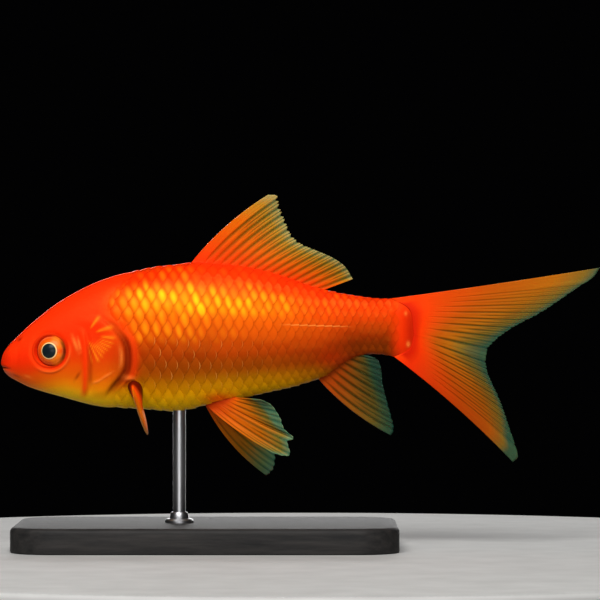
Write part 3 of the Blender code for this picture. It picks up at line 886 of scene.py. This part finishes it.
def make_scale_material():
    material, tree, shader = new_material("fish scale", 0.40, Specular_IOR_Level=0.34,
                                          Specular_Tint=(1.0, 0.50, 0.04, 1.0))
    back, down, tone, edge, covered = (layer(tree, name) for name in (
        "back", "down", "tone", "edge", "buried"))
    other_tone = (tone * 23.0).math("FRACT")
    # painted shadow just behind the free edge of the scale ahead
    tuck = 1 - layer(tree, "under").step(-0.02, 0.34)
    shadow = tuck * covered.step(0.25, 0.95) * layer(tree, "lattice") * 0.50
    colour = fish_colour(tree).toward((0.50, 0.32, 0.25, 1.0), shadow, "MULTIPLY")
    # painted highlight: a soft oval on each scale's open part, partly the scale's own golden shine
    inside_oval = 1 - scale_dome(back, down, other_tone * 0.11 + 0.31, 0.78).step(0.10, 1.20)
    patchy = noise(tree, 150.0, 1.0).step(0.38, 0.62) * 0.70 + 0.62
    glint = inside_oval * layer(tree, "glint") * (tone + 0.28) * covered.step(0.20, 0.80) * patchy
    shine = layer(tree, "gold").ramp(painted((0.0, 255, 142, 10), (1.0, 255, 214, 20)))
    colour = colour.toward(shine, glint.math("MINIMUM", 1.0))
    # painted highlight along the scale's free edge
    rim = edge.step(0.00, 0.04) - edge.step(0.05, 0.10)
    middle = 1 - abs(down).step(0.10, 0.50)
    arc = rim * middle * layer(tree, "arcs") * (other_tone * 0.6 + 0.10)
    colour = colour.toward(paint(235, 150, 70), arc)
    tube = 1 - abs(down + back * 0.10).step(0.03, 0.11)
    colour = colour.toward(paint(255, 160, 70), tube * layer(tree, "pored") * 0.45)
    shade = tone.ramp([(0.0, (0.88, 0.86, 0.84, 1.0)), (1.0, WHITE)])
    colour.toward(shade, 1.0, "MULTIPLY").into(shader, "Base Color")
    bulge = scale_dome(back, down, 0.52, 0.62).math("MINIMUM", 1.2)
    growth = (reach_of(back + 0.45, down) * 62.0).math("SINE")
    emboss(shader, (1 - bulge * bulge) * SCALE_DOME + growth * RING_RELIEF, 1.0, MM)
    (tone * 0.12 + 0.34).into(shader, "Roughness")
    return material


scale_material = make_scale_material()

# %% Bend all scales of one side onto the body
PATCH = 0.003                   # size of one scale's patch on the unwrap of the skin


def on_unwrap(share):
    return 0.02 + 0.96 * share


def make_scales(label, side, seed):
    template = one_scale()
    bm = bmesh.new()
    for _ in places:
        bm.from_mesh(template)
    flat = np.array([vert.co for vert in bm.verts]).reshape(len(places), -1, 3)
    size = scale_size(places)
    u, v, w = flat[..., 0] * size, flat[..., 1] * size, flat[..., 2]
    pitch = pitch_at(places[:, :1])
    along = places[:, :1] + u * pitch / LENGTH
    row = row_share(along, places[:, 1:])
    rows_long = girth_at(along) / row_height_at(along)
    room = np.where(v < 0, row, 1 - row) * rows_long
    turn = turn_at(along, row + v * np.clip(room * 0.97, 0.05, 1.0) / rows_long)
    dice = np.random.default_rng(seed)
    tone = dice.random((len(places), 1)) * np.ones_like(u)
    tilt = (dice.random((len(places), 1)) - 0.5) * SCALE_TILT
    climb = (u - SCALE_FRONT) / (SCALE_REAR - SCALE_FRONT)
    on_skin = (surface(along, turn)[..., 2] - MOUTH_Z) / LENGTH
    depth = coat_depth(along, on_skin)
    relief = marks(along, on_skin)[0]
    lift = COAT_SHARE * pitch * (climb - 1) + tilt * v * pitch + np.minimum(relief, 0)
    lift = np.maximum(lift, relief - depth - SCALE_SINK)
    lift += SCALE_BULGE * (1 - (v / SCALE_HALF) ** 2) * rise(climb, 0.3, 0.6)
    lift -= w * SCALE_THICKNESS * pitch
    points = surface(along, turn) + outward(along, turn) * lift[..., None]
    points[..., 1] *= side * (1 - tail_taper(along, on_skin))
    move_to(bm, points.reshape(-1, 3))
    bmesh.ops.recalc_face_normals(bm, faces=bm.faces)
    coat = object_from(f"scales_{label}", bm, scale_material, sharp=60)
    height = (points[..., 2] - MOUTH_Z) / LENGTH
    own = {
        "tone": tone,
        "back": u,
        "down": v,
        "edge": free_edge(v) - u,
        "under": u - np.maximum(free_edge(v) - 1, free_edge(1 - np.abs(v)) - 0.5),
        "buried": depth / (COAT_SHARE * pitch),
        "pored": (places[:, 1:] == 0) * band(along, 0.70, 0.84, 0.03),
    }
    store(coat.data, colour_layers_with_painted_light(along.ravel(), height.ravel(), turn.ravel()))
    store(coat.data, {name: values.ravel() for name, values in own.items()})
    patch_u = on_unwrap(places[:, :1] / BODY_END) + PATCH / 2 * (u / abs(SCALE_FRONT))
    patch_v = on_unwrap(row_share(places[:, :1], places[:, 1:])) + PATCH / 2 * (v / SCALE_HALF)
    unwrap = np.stack((patch_u, patch_v), axis=-1).reshape(-1, 2)
    corners = np.zeros(len(coat.data.loops), int)
    coat.data.loops.foreach_get("vertex_index", corners)
    coat.data.uv_layers.new(name="OFBake").data.foreach_set("uv", unwrap[corners].ravel())
    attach(coat, "root")
    return coat


for label, side, seed in (("left", 1, 11), ("right", -1, 12)):
    coat = make_scales(label, side, seed)
    print(coat.name, "faces:", len(coat.data.polygons))

# %% [markdown]
# ## Eyes
# A goldfish's eye is a slightly flattened ball that looks a little forward. The pupil is dark with
# a fine pale gold ring, then an orange iris. A ball turned so that its pole looks outwards has
# rings round the pupil, which lets the colour be a ramp over the distance from the pole.

# %% Eye material
eye_low, eye_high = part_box("eye_left")
EYE_RADIUS = (eye_high.z - eye_low.z) / 2
EYE_HALF_DEPTH = (eye_high.y - eye_low.y) / 2
EYE_TILT = 18                   # degrees that the eye looks forward
# Distance from the pole, and red, green and blue: pupil, pale ring, iris and its dark rim, which is
# partly the eye's own dark edge and partly painted shade of the socket.
EYE_RINGS = painted(
    (0.000, 18, 26, 34), (0.428, 20, 34, 34), (0.446, 255, 206, 140), (0.496, 255, 196, 122),
    (0.515, 196, 62, 6), (0.560, 250, 104, 8), (0.720, 240, 82, 8), (0.790, 255, 112, 50),
    (0.850, 190, 40, 8), (1.000, 120, 16, 3))


def make_eye_material():
    material, tree, shader = new_material("eye", 0.30, Specular_IOR_Level=0.12)
    reach = layer(tree, "reach")
    bearing = layer(tree, "around")
    iris = node(tree, "MapRange", {"Value": reach, "From Min": 0.50, "From Max": 0.54})
    streaks = noise(tree, 1.0, 3.0, flat_point(bearing * 22.0, reach * 3.0))
    light = streaks.ramp([(0.3, (0.84, 0.66, 0.55, 1.0)), (0.7, WHITE)])
    colour = reach.ramp(EYE_RINGS).toward(light, iris, "MULTIPLY")
    # painted highlight on the hind half of the iris
    iris_highlight = bearing.step(0.02, 0.14) * (1 - bearing.step(0.36, 0.52)) * iris * 0.5
    colour = colour.toward(paint(255, 136, 20), iris_highlight)
    # painted shade of the socket on the hind edge of the eyeball
    rear = (1 - bearing.step(0.14, 0.34)) * reach.step(0.70, 0.84) * 0.75
    colour.toward(paint(70, 24, 4), rear).into(shader, "Base Color")
    return material


eye_material = make_eye_material()


# %% Eyeballs
CORNEA = 0.10                   # how far it bulges, in half depths of the eye


def make_eye(label, side):
    """side is -1 for the left eye, whose pole looks towards -Y."""
    low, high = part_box(f"eye_{label}")
    bm = bmesh.new()
    bmesh.ops.create_uvsphere(bm, u_segments=96, v_segments=64, radius=1.0)
    bmesh.ops.rotate(bm, verts=bm.verts, matrix=Matrix.Rotation(math.pi / 2, 3, "X"))
    ball = np.array([vert.co for vert in bm.verts])
    outer = np.hypot(ball[:, 0], ball[:, 2])
    dome = CORNEA * (1 - np.minimum(outer / 0.5, 1.0) ** 2) * (ball[:, 1] * side > 0)
    shaped = ball + np.outer(side * dome, (0, 1, 0))
    move_to(bm, shaped * (EYE_RADIUS, EYE_HALF_DEPTH, EYE_RADIUS))
    tilt = Matrix.Rotation(math.radians(EYE_TILT * side), 3, "Z")
    bmesh.ops.rotate(bm, verts=bm.verts, matrix=tilt)
    pole = tilt @ Vector((0.0, side * EYE_HALF_DEPTH, 0.0))
    centre = (low + high) / 2
    centre.x = place(EYE[0], 0).x - pole.x
    bmesh.ops.translate(bm, verts=bm.verts, vec=centre)
    bmesh.ops.recalc_face_normals(bm, faces=bm.faces)
    eye = object_from(f"eyeball_{label}", bm, eye_material, sharp=80)
    store(eye.data, {
        "reach": np.where(np.sign(ball[:, 1]) == side, outer, 1.0),
        "around": np.abs(np.arctan2(ball[:, 2], ball[:, 0])) / math.pi,
    })
    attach(eye, "root")
    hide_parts(f"eye_{label}")


for label, side in (("left", -1), ("right", 1)):
    make_eye(label, side)
print(f"eye radius {EYE_RADIUS / MM:.2f} mm")

# %% [markdown]
# ## Fins
# A fin is a thin web over soft rays. Each ray is a low ridge that splits into two and then four
# finer ones towards the edge, where the web stops a little short of the tips. A fin could be made
# of separate rods and a sheet. Here it is one grid whose thickness follows the rays, because real
# rays are sealed in the web.

# %% From root line to tip line
def by_distance(points):
    """Turn points into stations whose parameter runs from 0 to 1 by distance."""
    reach = [0.0]
    for first, second in zip(points, points[1:]):
        reach.append(reach[-1] + math.dist(first, second))
    return [(length / reach[-1], *point) for length, point in zip(reach, points)]


def fan_between(root, tips, bow, lateral):
    """Rays run from the root line to the tip line. bow arches the first ray, not the last."""
    root_line = by_distance(root)
    tip_line = by_distance(tips)

    def points_at(fan, out):
        start = through(root_line, fan)
        ray = through(tip_line, fan) - start
        arch = bow * (1 - fan) * 4 * out * (1 - out)
        along = start[0] + ray[0] * out - ray[1] * arch
        height = start[1] + ray[1] * out + ray[0] * arch
        return np.stack((SNOUT_X + along * LENGTH, lateral(fan, out),
                         MOUTH_Z + height * LENGTH), axis=-1)

    return points_at


def wave(depth, half_turns):
    """The web swings to both sides behind the leading edge. depth is in millimetres."""
    return lambda fan, out: depth * MM * out * np.sin(half_turns * math.pi * fan)


def sweep(depth):
    """The leading edge leans to one side towards its tip. depth is in millimetres."""
    return lambda fan, out: depth * MM * (1 - fan) * out ** 2


# %% The ridges of the rays
def ray_ridges(fan, out, rays, web, splits, calm):
    """1 on a ray and 0 in the web; each ray splits into two, and some fins' rays into four.
    calm fills the webs next to the leading edge, where the rays lie close together."""
    aside = np.abs(fan * (rays - 1) - np.round(fan * (rays - 1)))
    gaps = hump(aside, 0.5, web)
    gaps = np.maximum(gaps, 0.85 * hump(aside, 0.0, 0.10) * rise(out, 0.40, 0.70))
    if splits > 1:
        gaps = np.maximum(gaps, 0.75 * hump(aside, 0.25, 0.07) * rise(out, 0.60, 0.85))
    return 1 - gaps * (1 - calm * (1 - rise(fan, 0.08, 0.62)))


# %% Fin material
def make_fin_material(name, ray_colours, web_colours, clear=0.25, lead_tint=WHITE):
    """Colours run from the root (0) to the edge (1), on the rays and in the web. lead_tint
    changes them towards the leading edge."""
    material, tree, shader = new_material(name, 0.50, Subsurface_Weight=0.20,
                                          Subsurface_Scale=0.6 * MM, Specular_IOR_Level=0.12,
                                          Specular_Tint=(1.0, 0.55, 0.20, 1.0))
    fan, out, ray, age = (layer(tree, stored) for stored in ("fan", "out", "ray", "age"))
    colour = age.ramp(web_colours).toward(age.ramp(ray_colours), ray)
    fibres = noise(tree, 1.0, 3.0, flat_point(fan * 90.0, out * 4.0))
    light = fibres.ramp([(0.30, (0.66, 0.62, 0.60, 1.0)), (0.70, WHITE)])
    colour = colour.toward(light, out.step(0.05, 0.30) * 0.5, "MULTIPLY")
    leading = (1 - fan) * out.step(0.0, 0.10) * (1 - out.step(0.70, 0.95))
    colour.toward(lead_tint, leading, "MULTIPLY").into(shader, "Base Color")
    (1 - (1 - ray) * out * clear).into(shader, "Alpha")
    emboss(shader, fibres, 0.10, 0.1 * MM)
    return material


# %% A fin from a rule
COLUMNS_PER_RAY = 16
RAY_AT_ROOT = 0.95 * MM         # thickness of a ray at the body
RAY_AT_TIP = 0.40 * MM
WEB_AT_ROOT = 0.50 * MM         # thickness of the web
WEB_AT_TIP = 0.20 * MM
FLESH = 0.9 * MM                # the fleshy foot adds this much


def make_fin(name, rays, rows, points_at, material, foot=0.12, flesh=FLESH, web=0.14, splits=2,
             notch=0.02, smooth_rear=2.0, lead=0.6, calm=0.0, round_off=0.0, thin_lead=0.001,
             age=lambda fan, out: out):
    """age(fan, out) says how far the colours have run from root (0) to edge (1). thin_lead is the
    share of the fin behind its leading edge over which the flesh of the foot swells up."""
    bm = bmesh.new()
    bmesh.ops.create_grid(bm, x_segments=COLUMNS_PER_RAY * (rays - 1), y_segments=rows, size=1.0)
    grid = np.array([vert.co for vert in bm.verts])
    fan = (grid[:, 0] + 1) / 2
    out = (grid[:, 1] + 1) / 2
    margin = (1 - rise(fan, 0.4 * lead / rays, lead / rays)) + rise(fan, 1 - 0.4 / rays, 1.0)
    fleshy = 1 - rise(out, 0.25 * foot, 2.2 * foot)
    ray = np.clip(ray_ridges(fan, out, rays, web, splits, calm) + margin + fleshy, 0, 1)
    notched = notch * (1 - ray) * (1 - rise(fan, smooth_rear - 0.1, smooth_rear + 0.1))
    move_to(bm, points_at(fan, out * (1 - notched * rise(out, 0.75, 1.0))))
    taper = out ** 0.7
    ray_thick = RAY_AT_ROOT + (RAY_AT_TIP - RAY_AT_ROOT) * taper
    web_thick = WEB_AT_ROOT + (WEB_AT_TIP - WEB_AT_ROOT) * taper
    thickness = (web_thick + (ray_thick - web_thick) * ray) * (1 - 0.45 * rise(out, 0.90, 1.0))
    thickness += flesh * (1 - rise(out, 0.0, foot)) * rise(fan, 0.0, thin_lead)
    thickness *= np.sqrt(1 - round_off * (2 * fan - 1) ** 2)
    thickest = RAY_AT_ROOT + flesh
    weights = bm.verts.layers.deform.verify()
    for vert, share in zip(bm.verts, thickness / thickest):
        vert[weights][0] = share
    fin = object_from(name + "_web", bm, material, sharp=70)
    fin.vertex_groups.new(name="thickness")
    store(fin.data, {"fan": fan, "out": out, "ray": ray, "age": np.clip(age(fan, out), 0, 1)})
    solid = fin.modifiers.new("thickness", "SOLIDIFY")
    solid.thickness = thickest
    solid.offset = 0.0
    solid.vertex_group = "thickness"
    solid.thickness_vertex_group = 0.0
    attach(fin, "root")
    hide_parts(name)
    print(name, "faces:", len(fin.data.polygons))


def older_behind(fan, out):
    """The colours run faster in the hind part of the fin."""
    return out + 0.26 * rise(fan, 0.30, 1.0) * rise(out, 0.0, 0.45)


# %% Dorsal fin
dorsal_material = make_fin_material(
    "dorsal fin",
    painted((0.0, 226, 36, 3), (0.25, 236, 70, 4), (0.60, 232, 106, 6), (0.85, 206, 142, 34),
            (1.0, 186, 168, 98)),
    painted((0.0, 220, 36, 3), (0.18, 190, 64, 3), (0.50, 138, 74, 3), (0.80, 96, 84, 18),
            (1.0, 84, 104, 62)))
DORSAL_TIPS = ((0.654, 0.405), (0.676, 0.402), (0.683, 0.376), (0.697, 0.341), (0.711, 0.308),
               (0.736, 0.285), (0.811, 0.251), (0.842, 0.229), (0.861, 0.199))
make_fin("dorsal_fin", 17, 60, fan_between(DORSAL_ROOT, DORSAL_TIPS, 0.045, wave(1.2, 2.2)),
         dorsal_material, foot=0.07, web=0.25, splits=1, notch=0.035, smooth_rear=0.55, lead=1.7)

# %% Anal fin
anal_material = make_fin_material(
    "anal fin",
    painted((0.0, 110, 30, 2), (0.20, 138, 52, 4), (0.50, 112, 64, 12), (0.78, 76, 66, 24),
            (0.92, 40, 70, 46), (1.0, 30, 64, 50)),
    painted((0.0, 104, 28, 2), (0.25, 76, 38, 3), (0.50, 50, 38, 6), (0.78, 44, 48, 18),
            (0.92, 28, 56, 38), (1.0, 24, 56, 44)),
    lead_tint=(1.45, 1.30, 1.0, 1.0))
ANAL_ROOT = ((0.768, -0.036), (0.812, -0.004), (0.860, 0.020))
ANAL_TIPS = ((0.954, -0.184), (0.962, -0.169), (0.948, -0.110), (0.935, -0.061), (0.930, -0.018),
             (0.921, 0.001), (0.905, 0.008))
make_fin("anal_fin", 8, 50, fan_between(ANAL_ROOT, ANAL_TIPS, -0.05, wave(1.0, 1.5)),
         anal_material, web=0.20, splits=1, notch=0.008, age=older_behind)

# %% Tail fin, in two lobes
TAIL_RAYS = painted(
    (0.0, 204, 24, 2), (0.045, 222, 32, 2), (0.11, 246, 58, 3), (0.25, 228, 70, 4),
    (0.50, 194, 84, 5), (0.80, 182, 102, 12), (0.94, 132, 102, 32), (1.0, 58, 88, 62))
TAIL_WEB = painted(
    (0.0, 204, 24, 2), (0.045, 222, 32, 2), (0.11, 240, 54, 3), (0.25, 192, 56, 3),
    (0.50, 126, 62, 4), (0.80, 82, 64, 10), (0.94, 60, 70, 30), (1.0, 32, 74, 58))
TAIL_FLESH = 1.0 * MM
UPPER_ROOT = ((0.955, 0.151), (1.000, 0.122), (1.010, 0.062))
UPPER_TIPS = ((1.463, 0.226), (1.448, 0.204), (1.409, 0.176), (1.325, 0.118), (1.248, 0.076),
              (1.198, 0.035), (1.187, 0.010))
LOWER_ROOT = ((0.963, 0.008), (1.000, 0.028), (1.010, 0.062))
LOWER_TIPS = ((1.257, -0.252), (1.269, -0.238), (1.246, -0.160), (1.226, -0.103),
              (1.193, -0.030), (1.187, 0.010))


def older_in_fork(at_tip):
    """The colours run faster towards the fork and, by at_tip, at the outer tip. The dark band at
    the root leaves out the outer rays."""
    def age(fan, out):
        inner = 0.32 * fan ** 2 * rise(out, 0.05, 0.50) * (1 - rise(out, 0.55, 1.1))
        outer = 0.11 * (1 - rise(fan, 0.10, 0.35))
        tip = at_tip * rise(out, 0.55, 0.98) * (1 - rise(fan, 0.10, 0.45))
        return np.maximum(out + inner, outer) + tip

    return age


for lobe, rows, rule, calm, at_tip, tint in (
        ("upper", 90, fan_between(UPPER_ROOT, UPPER_TIPS, -0.004, sweep(-4.0)), 0.60, 0.0, WHITE),
        ("lower", 80, fan_between(LOWER_ROOT, LOWER_TIPS, 0.021, sweep(6.0)), 0.40, 0.08,
         (0.84, 0.52, 0.75, 1.0))):
    material = make_fin_material(f"{lobe} tail lobe", TAIL_RAYS, TAIL_WEB, lead_tint=tint)
    make_fin(f"tail_fin_{lobe}", 10, rows, rule, material, flesh=TAIL_FLESH, foot=0.20,
             thin_lead=0.7, web=0.12, lead=1.6, calm=calm, age=older_in_fork(at_tip))

# %% Pelvic fins
pelvic_material = make_fin_material(
    "pelvic fin",
    painted((0.0, 158, 34, 2), (0.10, 178, 54, 4), (0.28, 208, 90, 7), (0.66, 190, 100, 10),
            (0.90, 134, 110, 38), (1.0, 96, 128, 92)),
    painted((0.0, 150, 32, 2), (0.10, 164, 46, 3), (0.28, 158, 68, 4), (0.66, 108, 70, 8),
            (0.90, 74, 86, 34), (1.0, 62, 110, 84)))
far_pelvic_material = make_fin_material(
    "far pelvic fin",
    painted((0.0, 190, 60, 4), (0.30, 190, 100, 14), (0.65, 150, 98, 24), (0.85, 96, 106, 60),
            (1.0, 64, 110, 84)),
    painted((0.0, 170, 50, 4), (0.30, 140, 78, 10), (0.60, 98, 80, 24), (0.80, 68, 90, 52),
            (1.0, 50, 98, 76)))
PELVIC_ROOT = ((0.498, -0.108), (0.535, -0.098), (0.568, -0.090))
PELVIC_TIPS = {
    "left": ((0.664, -0.222), (0.689, -0.230), (0.708, -0.229), (0.706, -0.214),
             (0.702, -0.196), (0.717, -0.188), (0.694, -0.166), (0.684, -0.139),
             (0.662, -0.107), (0.637, -0.094)),
    "right": ((0.648, -0.288), (0.664, -0.275), (0.670, -0.242), (0.656, -0.195),
              (0.632, -0.150), (0.605, -0.112)),
}


def pelvic_spread(side, splay):
    """The pelvic fins stand splay millimetres further apart at their tips than at their roots."""
    return lambda fan, out: side * MM * (1.2 + 0.8 * fan + splay * out)


for label, side, bow, splay, material in (("left", -1, -0.03, 8.5, pelvic_material),
                                          ("right", 1, -0.062, 10.0, far_pelvic_material)):
    rule = fan_between(PELVIC_ROOT, PELVIC_TIPS[label], bow, pelvic_spread(side, splay))
    make_fin(f"pelvic_fin_{label}", 8, 60, rule, material, web=0.15, splits=1, notch=0.012,
             round_off=0.9, age=older_behind)

# %% Pectoral fins
pectoral_material = make_fin_material(
    "pectoral fin",
    painted((0.0, 80, 10, 1), (0.20, 104, 14, 1), (0.34, 255, 76, 6), (0.60, 255, 128, 10),
            (0.85, 230, 104, 16), (1.0, 140, 92, 44)),
    painted((0.0, 80, 10, 1), (0.20, 104, 14, 1), (0.34, 250, 66, 5), (0.60, 255, 104, 7),
            (0.85, 190, 84, 16), (1.0, 104, 80, 44)), clear=0.15)
PECTORAL_LENGTH = 16.4 * MM
PECTORAL_HALF_CHORD = 4.6 * MM
PECTORAL_HALF_ROOT = 1.9 * MM
PECTORAL_SPREAD = 62            # degrees to each side of the middle ray
PECTORAL_DROOP = 42             # degrees below level
PECTORAL_FLESH = 2.4 * MM


def paddle(side, lift):
    """A paddle held out from the shoulder and down; lift raises it, in degrees."""
    shoulder = np.array(place(*SHOULDER, side * (flank(*SHOULDER) - 1.0 * MM)))
    down = math.radians(PECTORAL_DROOP - lift)
    axis = Vector((0.185, side * math.cos(down), -math.sin(down))).normalized()
    chord = Vector((0.38, side * -math.sin(down), -math.cos(down))).normalized()

    def points_at(fan, out):
        turn = np.radians(PECTORAL_SPREAD * (2 * fan - 1))
        reach = PECTORAL_LENGTH * (1.0 - 0.30 * np.abs(2 * fan - 0.9) ** 2)
        rim = (np.multiply.outer(reach * (0.35 + 0.65 * np.cos(turn)), axis)
               + np.multiply.outer(PECTORAL_HALF_CHORD * np.sin(turn), chord))
        root = np.multiply.outer(PECTORAL_HALF_ROOT * (2 * fan - 1), chord)
        points = shoulder + root + (rim - root) * out[:, None]
        points[:, 0] += 0.3 * MM * out * (1 - np.abs(2 * fan - 1))
        return points

    return points_at


for label, side, lift in (("left", -1, 0), ("right", 1, 26)):
    make_fin(f"pectoral_fin_{label}", 8, 40, paddle(side, lift), pectoral_material, foot=0.50,
             flesh=PECTORAL_FLESH, round_off=0.96)

# %% [markdown]
# ## The stand
# The base is a slab of black-stained wood with rounded corners and a softened rim, and the rod is
# satin steel that enters the belly between the fins. A small collar covers the hole in the wood,
# as turned stands have.

# %% Black wood
wood, tree, shader = new_material("black wood", 0.62, Coat_Weight=0.05, Coat_Roughness=0.50,
                                  Specular_IOR_Level=0.12)


def stretched(tree, scale):
    """The piece's own coordinates, drawn out along one axis as fibres and tool marks are."""
    where = node(tree, "TexCoord", output="Object")
    return node(tree, "Mapping", {"Vector": where, "Scale": scale})


fibre = noise(tree, 5.0, 6.0, stretched(tree, (14.0, 150.0, 150.0)), 0.65)
stain = fibre.ramp([(0.30, (0.010, 0.010, 0.010, 1.0)), (0.75, (0.032, 0.029, 0.027, 1.0))])
stain.into(shader, "Base Color")
emboss(shader, fibre, 0.25, 0.2 * MM)

# %% Satin steel
steel, tree, shader = new_material("satin steel", 0.28, Metallic=1.0)
lines = noise(tree, 3.0, where=stretched(tree, (900.0, 900.0, 30.0)))
tone = lines.ramp([(0.3, (0.26, 0.26, 0.27, 1.0)), (0.7, (0.38, 0.38, 0.39, 1.0))])
tone.into(shader, "Base Color")
(lines * 0.12 + 0.30).into(shader, "Roughness")

# %% Base, rod and collar
BASE_CORNER = 10.0 * MM
BASE_RIM = 1.2 * MM
BASE_FOOT = 0.4 * MM
base_low, base_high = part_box("stand_base")
rod_low, rod_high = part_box("stand_rod")
rod_x = (rod_low.x + rod_high.x) / 2
rod_radius = (rod_high.x - rod_low.x) / 2


def make_plinth():
    bm = bmesh.new()
    bmesh.ops.create_cube(bm, size=1.0)
    bmesh.ops.scale(bm, verts=bm.verts, vec=base_high - base_low)
    bmesh.ops.translate(bm, verts=bm.verts, vec=(base_low + base_high) / 2)
    soften(bm, [e for e in bm.edges if abs(e.verts[0].co.z - e.verts[1].co.z) > MM],
           BASE_CORNER, 20)
    soften(bm, [e for e in bm.edges if min(v.co.z for v in e.verts) > base_high.z - 0.1 * MM],
           BASE_RIM, 6)
    soften(bm, [e for e in bm.edges if max(v.co.z for v in e.verts) < base_low.z + 0.1 * MM],
           BASE_FOOT, 3)
    return object_from("stand_plinth", bm, wood, sharp=40)


def turned(name, profile, material):
    """Spin a profile of (radius, level) points round the rod's axis."""
    bm = bmesh.new()
    points = [bm.verts.new((radius, 0, level)) for radius, level in profile]
    edges = [bm.edges.new(pair) for pair in zip(points, points[1:])]
    bmesh.ops.spin(bm, geom=points + edges, cent=(0, 0, 0), axis=(0, 0, 1), dvec=(0, 0, 0),
                   angle=2 * math.pi, steps=48, use_merge=True)
    bmesh.ops.remove_doubles(bm, verts=bm.verts, dist=0.001 * MM)
    bmesh.ops.translate(bm, verts=bm.verts, vec=(rod_x, 0, 0))
    bmesh.ops.recalc_face_normals(bm, faces=bm.faces)
    return object_from(name, bm, material, sharp=35)


plinth = make_plinth()
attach(plinth, "root")
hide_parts("stand_base")

rod = turned("stand_post", [(0, rod_low.z), (rod_radius, rod_low.z), (rod_radius, rod_high.z),
                            (0, rod_high.z)], steel)
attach(rod, "root")
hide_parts("stand_rod")

top = base_high.z
collar = turned("stand_collar", [
    (rod_radius, top - 0.5 * MM), (3.4 * MM, top - 0.5 * MM), (3.4 * MM, top + 0.5 * MM),
    (3.1 * MM, top + 0.9 * MM), (2.3 * MM, top + 1.1 * MM), (2.1 * MM, top + 2.2 * MM),
    (1.9 * MM, top + 2.5 * MM), (rod_radius, top + 2.5 * MM), (rod_radius, top - 0.5 * MM),
], steel)
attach(collar, "root")
print("stand at x", round(rod_x, 4))
